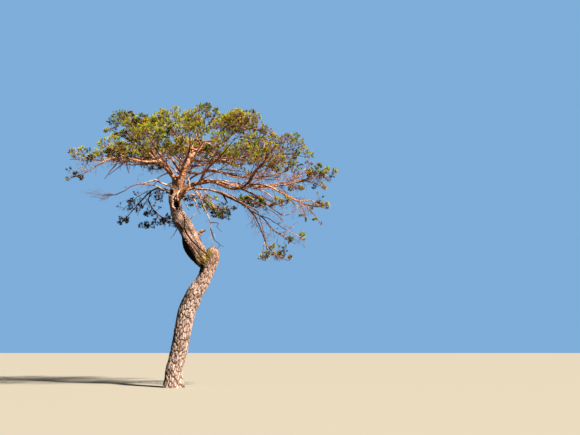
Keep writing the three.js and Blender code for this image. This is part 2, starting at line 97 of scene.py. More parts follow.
# How finely the stations' line is followed, then for each length how many points it has round it and
# how many rings, and the seed of its bark
STATION_STEPS = 24
LOWER_SKIN = (200, 420)
UPPER_SKIN = (150, 300)
LOWER_SEED = 11
UPPER_SEED = 21

# Bark plates: how many go round, how long each is, and how deep the cracks between them are. A paler
# plate stands out further, and each is split again into shallow scales.
LOWER_PLATES = {"columns": 23, "length": 0.19, "depth": 0.017}
UPPER_PLATES = {"columns": 26, "length": 0.075, "depth": 0.005}
PLATE_JITTER = 0.85
CRACK_SHARE = 0.38
PLATE_RISE = 0.65
PLATE_RISE_BY_TONE = 0.5
PLATE_SINK = 0.55
SCALES_ACROSS = 2
SCALE_LENGTH = 0.4
SCALE_DEPTH = 0.25
SCALE_TONE = 0.4
SCALE_SEED = 10

# Lumps, each with a height, a width and a seed of its own: what makes the cracks wander round the
# trunk and along it, the flakes on the plates, and the swell of the wood
WANDER_ROUND = [(0.17, 0.30, 0), (0.05, 0.045, 8)]
WANDER_ALONG = [(0.04, 0.20, 9)]
FLAKES = [(0.0030, 0.030, 1), (0.0018, 0.014, 2)]
SWELL = [(0.012, 0.28, 3), (0.006, 0.11, 4)]

# Marks on the bark, all on the side towards the viewer: two seams where the wood has twisted, with a
# lip along each, a rib beside them, the dark side below the rib, and the holes that dropped limbs
# have left, each with its place, size and depth. The dark side, the seams and the inside of the holes
# are painted shade. A pair of limits says where a mark is nothing and where it is full.
FRONT = (0.1, -0.3)
SEAM = [(0.15, 4.78), (0.19, 4.58), (0.18, 4.38), (0.29, 4.17), (0.42, 3.99), (0.56, 3.87),
        (0.74, 3.71), (0.83, 3.62)]
SIDE_SEAM = [(0.42, 3.92), (0.49, 3.82), (0.6, 3.66), (0.68, 3.55), (0.77, 3.43)]
SEAM_WIDTH = 0.019
SEAM_DEPTH = 0.045
SEAM_LIP = 0.5
SEAM_LIP_POWER = 0.2
SEAM_SHADOW = 0.8
SEAM_BARENESS = 0.9
SIDE_SEAM_NARROWER = 0.008
RIB = [(-0.24, 4.8), (-0.12, 4.64), (0.12, 4.27), (0.32, 4.01), (0.54, 3.66), (0.66, 3.34)]
RIB_WIDTH = 0.045
RIB_HEIGHT = 0.026
DARK_SIDE = [(-0.06, 4.47), (0.06, 4.3), (0.11, 4.14), (0.21, 3.89), (0.34, 3.66), (0.52, 3.42),
             (0.7, 3.23)]
DARK_WIDTH = 0.13
DARK_CORE = 0.75 * DARK_WIDTH
DARK_FACING = (0.8, 0.5)
DARK_EDGE = [(0.025, 0.15, 7)]
DARK_SWELL = 0.018
DARK_STRENGTH = 0.86
DARK_LESS_ON_RIB = 0.7
HOLES = [((-0.07, -0.15, 5.08), 0.105, 0.1), ((-0.06, -0.16, 4.95), 0.045, 0.04),
         ((-0.25, -0.11, 5.44), 0.085, 0.06), ((-0.25, -0.09, 4.83), 0.045, 0.03)]
HOLE_STRETCH = (1, 1, 0.85)
HOLE_RIM_HEIGHT = 0.30
HOLE_RIM_PLACE = 1.15
HOLE_RIM_WIDTH = 0.30
HOLE_WALL = (1.1, 0.3)
HOLE_SHADOW = (0.98, 0.7)

# The cosine from which two directions count as nearly the same
NEARLY_ALONG = 0.9

# Large odd numbers that scramble a lattice corner's place and a seed, for the lumps
CORNER_FACTORS = (73856093, 19349663, 83492791)
SEED_FACTOR = 40503
SCRAMBLE_FACTOR = 1274126177

# Moss: patches at the burl, as place and reach, and a thin film on the shaded side lower down. Both
# break up into spots. Beside the patches the burl is worn.
MOSSY = [((0.76, -0.33, 3.52), 0.23), ((0.9, -0.32, 3.64), 0.22), ((0.83, -0.28, 3.76), 0.16),
         ((0.95, -0.18, 3.84), 0.23), ((1.04, -0.18, 3.84), 0.13)]
MOSS_EDGE = (1.0, 0.5)
MOSS_SPOTS = (-0.30, 0.15)
MOSS_SPOT_WIDTH = 0.055
MOSS_SEED_STEP = 5
FILM = 0.8
FILM_TOP = 3.6
FILM_FACING = (-0.25, -0.8)
FILM_SPOTS = (-0.2, 0.3)
FILM_SPOT_WIDTH = 0.10
FILM_SEED_STEP = 6
WORN_PLACE = (1.01, -0.25, 3.64)
WORN_REACH = 0.52
WORN_EDGE = (1.0, 0.3)


def smooth_line(points, steps):
    """A cubic through all the points. Between b and c, with a before and d after them, it is
    b + t/2 (c - a + t (2a - 5b + 4c - d + t (3b - 3c + d - a)))."""
    p = np.asarray(points, float)
    p = np.vstack([2 * p[0] - p[1], p, 2 * p[-1] - p[-2]])
    a, b, c, d = (p[k:len(p) - 3 + k, None] for k in range(4))
    t = (np.arange(steps) / steps)[None, :, None]
    line = b + t / 2 * (c - a + t * (2 * a - 5 * b + 4 * c - d + t * (3 * (b - c) + d - a)))
    return np.vstack([line.reshape(-1, p.shape[1]), p[-2]])


def reach_along(line):
    """How far along a line each of its points is: the sum of the gaps before it."""
    gaps = np.linalg.norm(np.diff(line[:, :3], axis=0), axis=1)
    return np.concatenate([[0], np.cumsum(gaps)])


def evenly(line, count):
    """The same line at equal steps: each column is read off against the length so far."""
    reach = reach_along(line)
    shares = np.linspace(0, reach[-1], count)
    return np.stack([np.interp(shares, reach, column) for column in line.T], axis=1)


def unit(vectors):
    """Each vector over its own length."""
    return vectors / np.maximum(np.linalg.norm(vectors, axis=-1, keepdims=True), 1e-9)


def frames(lines):
    """The directions across and to the side at each point of some lines. Across starts as x, or as
    y where a line runs along x, and is carried on less its part along the line, so that a skin
    never twists."""
    along = unit(np.gradient(lines, axis=-2))
    crosses_x = np.abs(along[..., 0, :1]) < NEARLY_ALONG
    carried = np.where(crosses_x, (1.0, 0.0, 0.0), (0.0, 1.0, 0.0))
    across = np.empty_like(along)
    for k in range(lines.shape[-2]):
        step = along[..., k, :]
        carried = unit(carried - (carried * step).sum(-1, keepdims=True) * step)
        across[..., k, :] = carried
    return across, np.cross(along, across)


def directions_round(lines, sides):
    """The directions straight out of some lines: cos a across + sin a side, a going once round."""
    across, side = frames(lines)
    angle = (2 * np.pi * np.arange(sides) / sides)[:, None]
    return np.cos(angle) * across[..., None, :] + np.sin(angle) * side[..., None, :]


def skin_faces(count, rings, sides):
    """The quads between neighbouring rings of some skins, and a many-cornered end at each end."""
    number = np.arange(count * rings * sides).reshape(count, rings, sides)
    beside = np.roll(number, -1, axis=2)
    quads = [number[:, :-1], beside[:, :-1], beside[:, 1:], number[:, 1:]]
    ends = np.concatenate([number[:, 0, ::-1], number[:, -1]])
    return np.stack(quads, axis=-1).reshape(-1, 4), ends


def lumps(points, size, seed):
    """Smooth bumps from -1 to 1: a scrambled number at each corner of a lattice of cubes of that
    size, and between the corners a blend weighted by t t (3 - 2t) along each axis."""
    cell = np.floor(points / size).astype(np.int64)
    t = points / size - cell
    t = t * t * (3 - 2 * t)
    total = np.zeros(points.shape[:-1])
    for corner in np.ndindex(2, 2, 2):
        at = (cell + corner) * CORNER_FACTORS
        mixed = at[..., 0] ^ at[..., 1] ^ at[..., 2] ^ (seed * SEED_FACTOR)
        mixed = (mixed ^ (mixed >> 13)) * SCRAMBLE_FACTOR
        value = ((mixed ^ (mixed >> 16)) & 0xFFFF) / 32767.5 - 1
        total += np.prod(np.where(corner, t, 1 - t), axis=-1) * value
    return total


def rough(points, parts, seed):
    """The sum of some lumps: for each part, its height times bumps of its width."""
    return sum(height * lumps(points, width, seed + step) for height, width, step in parts)


def step_between(low, high, value):
    """0 up to low, 1 from high, and t t (3 - 2t) between them."""
    t = np.clip((value - low) / (high - low), 0, 1)
    return t * t * (3 - 2 * t)


def plates(angle, reach, columns, length, seed):
    """How far inside its plate of bark each point lies, from 0 in a crack to 1, and each plate's
    tone. A plate is all that is nearest to one point, scattered in each box of a brickwork, and the
    measure is how much further off the second nearest point is."""
    table = np.random.default_rng(seed).random((int(reach.max() / length) + 5, columns, 3))
    u = angle * columns / (2 * np.pi)
    v = reach / length + 2
    near = np.full((2, *u.shape), np.inf)
    tone = np.zeros(u.shape)
    for column_step, row_step in np.ndindex(3, 3):
        column = np.floor(u).astype(int) + column_step - 1
        shift = 0.5 * (column % 2)
        row = np.floor(v + shift).astype(int) + row_step - 1
        scatter = table[np.clip(row, 0, len(table) - 1), column % columns]
        du = u - column - 0.5 - PLATE_JITTER * (scatter[..., 0] - 0.5)
        dv = v + shift - row - 0.5 - PLATE_JITTER * (scatter[..., 1] - 0.5)
        gap = np.hypot(du, dv)
        closest = gap < near[0]
        tone = np.where(closest, scatter[..., 2], tone)
        near = np.stack([np.minimum(near[0], gap), np.clip(gap, near[0], near[1])])
    return step_between(0, CRACK_SHARE, near[1] - near[0]), tone


def distance_to_path(points, path):
    """The distance of flat points from a path: the least, over its pieces, of the distance to the
    foot of the upright on the piece, held between its ends."""
    path = np.asarray(path)
    start, way = path[:-1], np.diff(path, axis=0)
    offset = points[..., None, :] - start
    share = np.clip((offset * way).sum(-1) / (way * way).sum(-1), 0, 1)
    return np.linalg.norm(offset - share[..., None] * way, axis=-1).min(-1)


def bark_skin(stations, size, shape, seed):
    """A length of trunk as rings of points, and its marks: how far each point lies inside its plate,
    the plate's tone, the painted shade of the dark side, the seams and the holes, the moss, and the
    worn side of the burl. The radius is the station's, times the lobes of the foot, plus the relief:
    the plates, their flakes, the swell of the wood, the seams, the rib, the dark side and the holes."""
    sides, rings = size
    line = evenly(smooth_line(stations, STATION_STEPS), rings)
    centre, radius = line[:, :3], np.maximum(line[:, 3], LEAST_RADIUS)
    out = directions_round(centre, sides)
    angle = np.broadcast_to(2 * np.pi * np.arange(sides) / sides, (rings, sides))
    reach = np.broadcast_to(reach_along(centre)[:, None], (rings, sides))
    flare = FLARE_DEPTH * np.exp(-centre[:, 2] / FLARE_HEIGHT)[:, None]
    lobes = 1 + flare * np.cos(FLARE_LOBES * angle)
    bare = centre[:, None] + (radius[:, None] * lobes)[..., None] * out

    turned = angle + rough(bare, WANDER_ROUND, seed)
    moved = reach + rough(bare, WANDER_ALONG, seed)
    inside, tone = plates(turned, moved, shape["columns"], shape["length"], seed)
    scales = (SCALES_ACROSS * shape["columns"], SCALE_LENGTH * shape["length"])
    scale_inside, scale_tone = plates(turned, reach, *scales, seed + SCALE_SEED)
    inside = inside * (1 - SCALE_DEPTH + SCALE_DEPTH * scale_inside)
    tone = (1 - SCALE_TONE) * tone + SCALE_TONE * scale_tone
    relief = shape["depth"] * (inside * (PLATE_RISE + PLATE_RISE_BY_TONE * tone) - PLATE_SINK)
    relief = relief + rough(bare, FLAKES, seed) + rough(bare, SWELL, seed)

    front = step_between(*FRONT, out[..., 1])
    flat = bare[..., ::2]
    gap = np.minimum(distance_to_path(flat, SEAM),
                     distance_to_path(flat, SIDE_SEAM) + SIDE_SEAM_NARROWER)
    seam = front * np.exp(-(gap / SEAM_WIDTH) ** 2)
    rib = front * np.exp(-(distance_to_path(flat, RIB) / RIB_WIDTH) ** 2)
    near = distance_to_path(flat, DARK_SIDE) + rough(bare, DARK_EDGE, seed)
    shade = step_between(*DARK_FACING, out[..., 1]) * step_between(DARK_WIDTH, DARK_CORE, near)
    relief += SEAM_DEPTH * (SEAM_LIP * seam ** SEAM_LIP_POWER - seam) * front
    relief += RIB_HEIGHT * rib
    relief += DARK_SWELL * shade
    # Painted shade: near black on the dark side below the rib, less on the rib, and inside the holes
    painted_shade = DARK_STRENGTH * shade * (1 - DARK_LESS_ON_RIB * rib)
    for place, width, depth in HOLES:
        gap = np.linalg.norm((bare - place) * HOLE_STRETCH, axis=-1) / width
        rim = HOLE_RIM_HEIGHT * depth * np.exp(-((gap - HOLE_RIM_PLACE) / HOLE_RIM_WIDTH) ** 2)
        relief += rim - depth * step_between(*HOLE_WALL, gap)
        painted_shade = np.maximum(painted_shade, step_between(*HOLE_SHADOW, gap))
    relief *= step_between(0, SMOOTH_BELOW, radius)[:, None]
    relief = np.where(centre[:, 2:] < FLAT_CUT, 0, relief)

    spots = step_between(*MOSS_SPOTS, lumps(bare, MOSS_SPOT_WIDTH, seed + MOSS_SEED_STEP))
    moss = np.zeros((rings, sides))
    for place, width in MOSSY:
        gap = np.linalg.norm(bare - place, axis=-1) / width
        moss = np.maximum(moss, step_between(*MOSS_EDGE, gap) * spots)
    spots = step_between(*FILM_SPOTS, lumps(bare, FILM_SPOT_WIDTH, seed + FILM_SEED_STEP))
    film = FILM * step_between(*FILM_FACING, out[..., 0]) * spots
    # The marks carry the painted shade of the dark side, the seams and the holes
    marks = {
        "inside": inside * (1 - SEAM_BARENESS * seam) * (1 - painted_shade),
        "tone": tone,
        "painted_shade": np.maximum(painted_shade, SEAM_SHADOW * seam),
        "moss": np.maximum(moss, film * (centre[:, 2:] < FILM_TOP)),
        "worn": step_between(*WORN_EDGE, np.linalg.norm(bare - WORN_PLACE, axis=-1) / WORN_REACH),
    }
    return bare + relief[..., None] * out, marks


def colour(code):
    """A hex colour as linear red, green, blue and 1: each part c becomes ((c + 0.055) / 1.055) to
    the power 2.4, or c / 12.92 where c is small."""
    parts = np.array([int(code[k:k + 2], 16) for k in (1, 3, 5)]) / 255
    linear = np.where(parts > 0.04045, ((parts + 0.055) / 1.055) ** 2.4, parts / 12.92)
    return (*linear, 1.0)


def feed(node, inputs):
    """Gives each input of a node its value, or links it to the socket that feeds it."""
    for name, value in inputs.items():
        if isinstance(value, bpy.types.NodeSocket):
            node.id_data.links.new(value, node.inputs[name])
        else:
            node.inputs[name].default_value = value


def add(tree, kind, inputs=None, **settings):
    """Adds one shader node with its settings, which are the node's own options, and its inputs."""
    node = tree.nodes.new(kind)
    for name, value in settings.items():
        setattr(node, name, value)
    feed(node, inputs or {})
    return node


def finish_of(name, roughness, specular=0.3):
    """A new material with the shader that every finish here ends in, and its node tree."""
    material = bpy.data.materials.new(name)
    material.use_nodes = True
    tree = material.node_tree
    shader = tree.nodes["Principled BSDF"]
    feed(shader, {"Roughness": roughness, "Specular IOR Level": specular})
    return material, tree, shader


def mottle(tree, width):
    """How strong soft patches about as wide as that, in metres, are at each point of the object."""
    place = add(tree, "ShaderNodeTexCoord").outputs["Object"]
    inputs = {"Vector": place, "Scale": 1 / width, "Detail": 3.0, "Roughness": 0.6}
    return add(tree, "ShaderNodeTexNoise", inputs).outputs["Fac"]


def layer(tree, below, above, where, low=0.0, high=1.0):
    """One colour laid over another: none of it where a value is at low, all of it at high. A colour
    is a hex code or an earlier layer. 0, 6 and 7 are the mix's share and its two colours, and 2 is
    the colour that it gives."""
    below, above = (colour(part) if isinstance(part, str) else part for part in (below, above))
    inputs = {"Value": where, "From Min": low, "From Max": high}
    share = add(tree, "ShaderNodeMapRange", inputs, clamp=True).outputs["Result"]
    return add(tree, "ShaderNodeMix", {0: share, 6: below, 7: above}, data_type="RGBA").outputs[2]


def piece(name, points, face_groups, material, stands_for=(), marks=None, smooth=True):
    """A mesh object from an array of points and some arrays of faces, one for each number of
    corners, with a number at each point for each mark. It rides with the tree and stands for the
    nodes that it names."""
    mesh = bpy.data.meshes.new(name)
    points = np.ascontiguousarray(points, np.float32).reshape(-1, 3)
    corners = np.concatenate([faces.ravel() for faces in face_groups])
    totals = np.concatenate([np.full(len(faces), faces.shape[1]) for faces in face_groups])
    starts = np.concatenate([[0], np.cumsum(totals)[:-1]])
    mesh.vertices.add(len(points))
    mesh.vertices.foreach_set("co", points.ravel())
    mesh.loops.add(len(corners))
    mesh.loops.foreach_set("vertex_index", corners.astype(np.int32))
    mesh.polygons.add(len(totals))
    mesh.polygons.foreach_set("loop_start", starts.astype(np.int32))
    mesh.polygons.foreach_set("use_smooth", np.full(len(totals), smooth))
    for key, values in (marks or {}).items():
        attribute = mesh.attributes.new(key, "FLOAT", "POINT")
        attribute.data.foreach_set("value", values.ravel().astype(np.float32))
    mesh.update(calc_edges=True)
    mesh.materials.append(material)
    made = bpy.data.objects.new(name, mesh)
    bpy.context.scene.collection.objects.link(made)
    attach(made, "root")
    if stands_for:
        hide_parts(*stands_for)


# How wide the bark's patterns are: its flakes, the darker patches where it stays wet, the stains on
# the worn side, and its grain, which is drawn coarser than life so that it shows. Then the heights
# between which old bark gives way to young, the young bark is painted paler as painted light, and
# the young bark turns orange.
FLAKE_WIDTH = 0.030
WET_WIDTH = 0.20
STAIN_WIDTH = 0.06
GRAIN_WIDTH = 0.009
GRAIN_DEPTH = 0.004
TO_YOUNG_BARK = (2.5, 3.6)
TO_PAINTED_LIGHT_BARK = (4.5, 4.9)
TO_ORANGE_BARK = (5.1, 5.8)


def plated_bark():
    """Old pine bark: dull plates of mauve-brown and pinkish white over dark cracks. Higher up,
    where it is younger, it is smoother and warmer, and from 4.5 m up it is painted paler as painted
    light. Painted shade lies near black on the dark side below the rib, in the seams and in the
    holes. It gives the eye pale flakes on a dark ground."""
    material, tree, shader = finish_of("plated pine bark", 0.92, 0.15)
    place = add(tree, "ShaderNodeTexCoord").outputs["Object"]
    height = add(tree, "ShaderNodeSeparateXYZ", {"Vector": place}).outputs["Z"]
    tone, worn_side, inside, moss, painted_shade = (
        add(tree, "ShaderNodeAttribute", attribute_name=mark).outputs["Fac"]
        for mark in ("tone", "worn", "inside", "moss", "painted_shade"))
    flake = mottle(tree, FLAKE_WIDTH)
    dull = layer(tree, "#856a60", "#ccb4ac", tone, 0.25, 0.75)
    old = layer(tree, dull, "#dccbc5", flake, 0.52, 0.66)
    warm = layer(tree, "#9c7868", "#dcc0b2", flake, 0.38, 0.62)
    # Painted light: from 4.5 m up the young bark is painted paler
    light = layer(tree, "#a8826e", "#e8d0c2", flake, 0.38, 0.62)
    young = layer(tree, warm, light, height, *TO_PAINTED_LIGHT_BARK)
    young = layer(tree, young, "#c28c68", height, *TO_ORANGE_BARK)
    plate = layer(tree, old, young, height, *TO_YOUNG_BARK)
    plate = layer(tree, plate, "#6c5248", mottle(tree, WET_WIDTH), 0.52, 0.72)
    worn = layer(tree, "#624a40", "#b8988a", mottle(tree, STAIN_WIDTH), 0.40, 0.60)
    plate = layer(tree, plate, worn, worn_side)
    crack = layer(tree, "#46332b", "#75544a", height, *TO_YOUNG_BARK)
    bark = layer(tree, crack, plate, inside, 0.05, 0.70)
    bark = layer(tree, bark, "#5e5226", moss, 0.25, 0.9)
    # Painted shade: near black on the dark side, in the seams and in the holes
    bark = layer(tree, bark, "#120c0b", painted_shade, 0.2, 0.9)
    grain = {"Height": mottle(tree, GRAIN_WIDTH), "Strength": 0.5, "Distance": GRAIN_DEPTH}
    bump = add(tree, "ShaderNodeBump", grain).outputs["Normal"]
    feed(shader, {"Base Color": bark, "Normal": bump})
    return material


bark = plated_bark()
bark_places, bark_moss = [], []
for name, stations, size, shape, seed in [
    ("trunk_lower", LOWER_TRUNK, LOWER_SKIN, LOWER_PLATES, LOWER_SEED),
    ("trunk_upper", UPPER_TRUNK, UPPER_SKIN, UPPER_PLATES, UPPER_SEED),
]:
    points, marks = bark_skin(stations, size, shape, seed)
    piece(name, points, skin_faces(1, size[1], size[0]), bark, ["trunk"], marks)
    bark_places.append(points.reshape(-1, 3))
    bark_moss.append(marks["moss"].ravel())


# Boughs
# Living limbs, from the fork and from each other. The bark of a young pine limb is thin and orange
# and comes off in papery flakes, so they are smooth from a step away. Each is one tapering tube with
# a collar at its root, over the same route as its solid. Routes, hearts and sizes are in metres.
PAD_LARGE = (0.88, 0.82, 0.44)
PAD_MEDIUM = (0.76, 0.7, 0.41)
PAD_SMALL = (0.56, 0.52, 0.33)
PAD_TINY = (0.45, 0.42, 0.27)
PAD_FLAT = (0.62, 0.45, 0.26)
PAD_PEAK = (0.47, 0.47, 0.37)
PAD_FAR = (0.53, 0.44, 0.31)
PAD_LOW = (0.5, 0.45, 0.35)
PAD_SHADE = (0.58, 0.52, 0.4)
PAD_UNDER = (0.52, 0.42, 0.29)
PAD_LEAST = (0.36, 0.32, 0.19)
TWIGS_LEVEL = (0.52, 0.26, 0.17)
TWIGS_HANGING = (0.3, 0.22, 0.33)

# Each limb: its name, what it leaves, its route, then its mass's name, heart and size, and how many
# thinner limbs run beside it into the same mass
Limb = namedtuple("Limb", "name parent route mass heart size beside")
LIMBS = [Limb(*row) for row in [
    ("bough_leader", "trunk",
     [(-0.02, 0.045, 5.88), (0.11, 0.03, 6.11), (0.2, 0, 6.33), (0.3, 0.04, 6.61), (0.49, 0.09, 6.79),
      (0.55, 0.1, 6.96), (0.42, 0.1, 7.13), (0.37, 0.1, 7.29)],
     "needles_crown_top", (-0.08, 0.1, 7.69), PAD_LARGE, 3),
    ("bough_left", "trunk",
     [(-0.11, 0.03, 5.56), (-0.19, -0.02, 5.92), (-0.4, -0.09, 6.16), (-0.6, -0.18, 6.38),
      (-0.75, -0.26, 6.56), (-0.74, -0.32, 6.75), (-0.7, -0.34, 6.92)],
     "needles_left_centre", (-0.95, -0.35, 7.36), PAD_LARGE, 3),
    ("bough_right", "trunk",
     [(-0.12, 0.02, 5.38), (0.29, -0.1, 5.64), (0.83, -0.25, 5.74), (1.12, -0.3, 5.67),
      (1.59, -0.35, 5.5), (1.99, -0.35, 5.65), (2.17, -0.36, 5.98), (2.45, -0.4, 6.26),
      (2.79, -0.4, 6.48)],
     "needles_right_shoulder", (3.13, -0.4, 6.81), PAD_SMALL, 4),
    ("bough_droop", "trunk",
     [(-0.14, 0.01, 5.18), (0.24, -0.24, 5.48), (0.81, -0.44, 5.44), (1.18, -0.5, 5.33),
      (1.81, -0.59, 5), (2.11, -0.64, 4.76), (2.33, -0.67, 4.38), (2.5, -0.7, 3.93)],
     "needles_droop", (2.78, -0.7, 3.62), PAD_TINY, 0),
    ("bough_front", "trunk",
     [(-0.04, 0.04, 5.82), (0.06, -0.3, 6.03), (0.26, -0.8, 6.2), (0.42, -1.27, 6.29)],
     "needles_front", (0.52, -2.05, 6.48), PAD_LARGE, 2),
    ("bough_back", "trunk",
     [(-0.06, 0.04, 5.78), (-0.06, 0.42, 6.12), (-0.02, 0.9, 6.6), (-0.05, 1.45, 6.96)],
     "needles_back", (-0.1, 2.15, 7.42), PAD_LARGE, 2),
    ("bough_far_left", "bough_left",
     [(-0.72, -0.24, 6.51), (-1.2, -0.33, 6.36), (-1.75, -0.42, 6.35), (-2.18, -0.49, 6.3)],
     "needles_far_left", (-2.77, -0.5, 6.42), PAD_FLAT, 2),
    ("bough_left_high", "bough_left",
     [(-0.75, -0.3, 6.66), (-0.98, -0.12, 6.72), (-1.24, 0.08, 6.8), (-1.48, 0.24, 7.06)],
     "needles_left_top", (-1.86, 0.35, 7.64), PAD_MEDIUM, 2),
    ("bough_left_front", "bough_left",
     [(-0.56, -0.16, 6.33), (-0.7, -0.48, 6.24), (-0.96, -0.8, 6.17), (-1.15, -1.02, 6.15)],
     "needles_left_front", (-1.56, -1.6, 6.26), PAD_LARGE, 2),
    ("bough_front_left", "bough_left",
     [(-0.22, -0.03, 5.98), (-0.26, -0.42, 6.08), (-0.34, -0.9, 6.2), (-0.41, -1.33, 6.28)],
     "needles_front_left", (-0.48, -1.95, 6.4), PAD_MEDIUM, 1),
    ("bough_back_left", "bough_left",
     [(-0.33, -0.07, 6.1), (-0.56, 0.38, 6.32), (-0.98, 0.82, 6.6), (-1.38, 1.23, 6.83)],
     "needles_back_left", (-2.05, 1.85, 7.15), PAD_LARGE, 2),
    ("bough_back_right", "bough_leader",
     [(0.19, 0.01, 6.29), (0.44, 0.48, 6.42), (0.8, 0.95, 6.66), (1.13, 1.32, 6.85)],
     "needles_back_right", (1.7, 1.9, 7.12), PAD_LARGE, 2),
    ("bough_right_high", "bough_leader",
     [(0.48, 0.09, 6.78), (0.82, 0, 6.8), (1.16, -0.17, 6.88), (1.53, -0.37, 7.12)],
     "needles_right_top", (1.86, -0.5, 7.47), PAD_MEDIUM, 3),
    ("bough_top_right", "bough_leader",
     [(0.54, 0.1, 6.93), (0.76, 0.23, 7.08), (0.93, 0.34, 7.24), (1.06, 0.42, 7.44)],
     "needles_top_right", (1.33, 0.5, 7.74), PAD_MEDIUM, 2),
    ("bough_peak", "bough_leader",
     [(0.44, 0.1, 7.11), (0.56, 0.06, 7.24), (0.62, 0.02, 7.42), (0.64, 0, 7.56)],
     "needles_peak", (0.68, 0, 7.89), PAD_PEAK, 1),
    ("bough_curl", "bough_leader",
     [(0.24, 0.02, 6.45), (0.47, -0.11, 6.39), (0.76, -0.12, 6.37), (1.18, 0.18, 6.47),
      (1.63, 0.48, 6.4), (1.93, 0.62, 6.7)],
     "needles_right_mid", (2.32, 0.65, 7.13), PAD_MEDIUM, 3),
    ("bough_right_middle", "bough_leader",
     [(0.1, 0.03, 6.09), (0.42, 0.54, 6.19), (0.86, 0.74, 6.33), (1.4, 0.84, 6.23),
      (1.96, 0.95, 6.16), (2.42, 1.04, 6.23)],
     "needles_right_middle", (3.12, 1.15, 6.48), PAD_LARGE, 3),
    ("bough_front_right", "bough_right",
     [(0.56, -0.18, 5.7), (0.74, -0.56, 5.85), (0.98, -0.98, 5.99), (1.16, -1.25, 6.05)],
     "needles_front_right", (1.6, -1.9, 6.22), PAD_LARGE, 2),
    ("bough_right_front", "bough_right",
     [(2.09, -0.355, 5.8), (2.17, -0.53, 5.89), (2.27, -0.74, 5.95), (2.35, -0.9, 5.98)],
     "needles_right_front", (2.57, -1.45, 6.08), PAD_MEDIUM, 2),
    ("bough_far_right", "bough_right",
     [(1.88, -0.35, 5.57), (2.42, -0.32, 5.56), (3, -0.3, 5.61), (3.56, -0.3, 5.76)],
     "needles_far_right", (4.06, -0.3, 5.92), PAD_FAR, 4),
    ("bough_right_under", "bough_right",
     [(1.7, -0.35, 5.5), (2.13, -0.48, 5.31), (2.44, -0.58, 5.06), (2.62, -0.63, 4.96)],
     "needles_right_under", (3, -0.7, 4.9), PAD_TINY, 2),
    ("bough_right_low", "bough_far_right",
     [(2.56, -0.315, 5.565), (2.85, -0.38, 5.44), (3.19, -0.4, 5.23), (3.48, -0.4, 5.08)],
     "needles_right_low", (3.9, -0.4, 4.92), PAD_LOW, 2),
    ("bough_droop_outer", "bough_droop",
     [(2.08, -0.635, 4.79), (2.42, -0.64, 4.6), (2.69, -0.66, 4.27), (3.06, -0.7, 4.03)],
     "needles_droop_outer", (3.47, -0.71, 3.965), PAD_TINY, 2),
    ("bough_far_left_low", "bough_far_left",
     [(-2.02, -0.465, 6.32), (-2.3, -0.52, 6.12), (-2.52, -0.54, 5.95), (-2.68, -0.53, 5.89)],
     "needles_far_left_low", (-3, -0.5, 5.88), PAD_LEAST, 1),
    ("bough_shade_left", "trunk",
     [(-0.15, 0.02, 5.3), (-0.43, 0.42, 5.62), (-0.87, 0.82, 5.8), (-1.23, 1.17, 5.68),
      (-1.47, 1.4, 5.52)],
     "needles_shade_left", (-1.85, 1.6, 5.31), PAD_SHADE, 2),
    ("bough_shade_low", "bough_shade_left",
     [(-1.08, 1.03, 5.75), (-1.17, 1.2, 5.5), (-1.08, 1.27, 5.29), (-0.95, 1.29, 5.16)],
     "needles_shade_low", (-0.7, 1.3, 4.98), PAD_TINY, 1),
    ("bough_under", "trunk",
     [(-0.12, 0.02, 5.2), (0.2, 0.18, 5.44), (0.48, 0.3, 5.43), (0.68, 0.39, 5.25)],
     "needles_under", (0.9, 0.56, 5.03), PAD_UNDER, 4),
    ("dead_limb_left", "trunk",
     [(-0.16, 0.02, 5.42), (-0.59, -0.23, 5.56), (-0.87, -0.27, 5.62), (-1.19, -0.3, 5.62),
      (-1.56, -0.3, 5.43), (-1.8, -0.3, 5.32)],
     "dead_twigs_left", (-2.28, -0.3, 5.33), TWIGS_LEVEL, 0),
    ("dead_limb_hanging", "bough_droop",
     [(0.42, -0.32, 5.48), (0.62, -0.56, 5.26), (0.78, -0.62, 4.9), (0.96, -0.64, 4.48),
      (1, -0.64, 4.23)],
     "dead_twigs_hanging", (1.11, -0.64, 3.92), TWIGS_HANGING, 0),
]]
TIP_PER_SPREAD = 0.036
TAPER_PER_METRE = 0.09
BARE_TIP_RADIUS = 0.013
COLLAR_GROWTH = 0.45
COLLAR_LENGTH = 0.16
WANDER = 0.016
DEAD_WANDER = 2.2 * WANDER
WANDER_WIDTH = 0.23
LIMB_LUMPS = [(0.10, 0.11, 3), (0.06, 0.035, 4)]
LIMB_SEED = 100
LIMB_SEED_STEP = 7
ROUTE_STEPS = 12
ROW_STEP = 0.016
LEAST_ROWS = 24
MAIN_SIDES = 36
BOUGH_SIDES = 20

# Where the crown shades a limb its bark is painted almost black, and bare wood browner, as painted
# shadow: the shares of its length between which it is dark, and over how much of it the dark fades
PAINTED_SHADOW_PARTS = {
    "bough_shade_left": (0.1, 2), "bough_shade_low": (-1, 2), "bough_droop": (0.50, 2),
    "bough_droop_outer": (-1, 0.60), "bough_right": (0.58, 0.90), "bough_right_under": (0.30, 0.80),
    "dead_limb_left": (0.42, 2),
}
NO_PART = (2, 2)
DARK_FADE = 0.08
LIMB_DARKNESS = 0.85


def length_of(line):
    """The length of a line of points."""
    return np.linalg.norm(np.diff(np.asarray(line, float)[:, :3], axis=0), axis=1).sum()


def is_dead(limb):
    """Whether a limb carries bare twigs and no needles."""
    return limb.mass.startswith("dead")


def tip_radius(limb):
    """A tip in proportion to the spread of the mass that it carries."""
    return BARE_TIP_RADIUS if is_dead(limb) else TIP_PER_SPREAD * np.sqrt(limb.size[0] * limb.size[1])


def root_radius(limb):
    """A root whose section is the sum of all the sections that it carries, and a little more."""
    carried = [root_radius(other) for other in LIMBS if other.parent == limb.name]
    taper = 1 + TAPER_PER_METRE * length_of(limb.route)
    return np.sqrt(tip_radius(limb) ** 2 + sum(radius ** 2 for radius in carried)) * taper


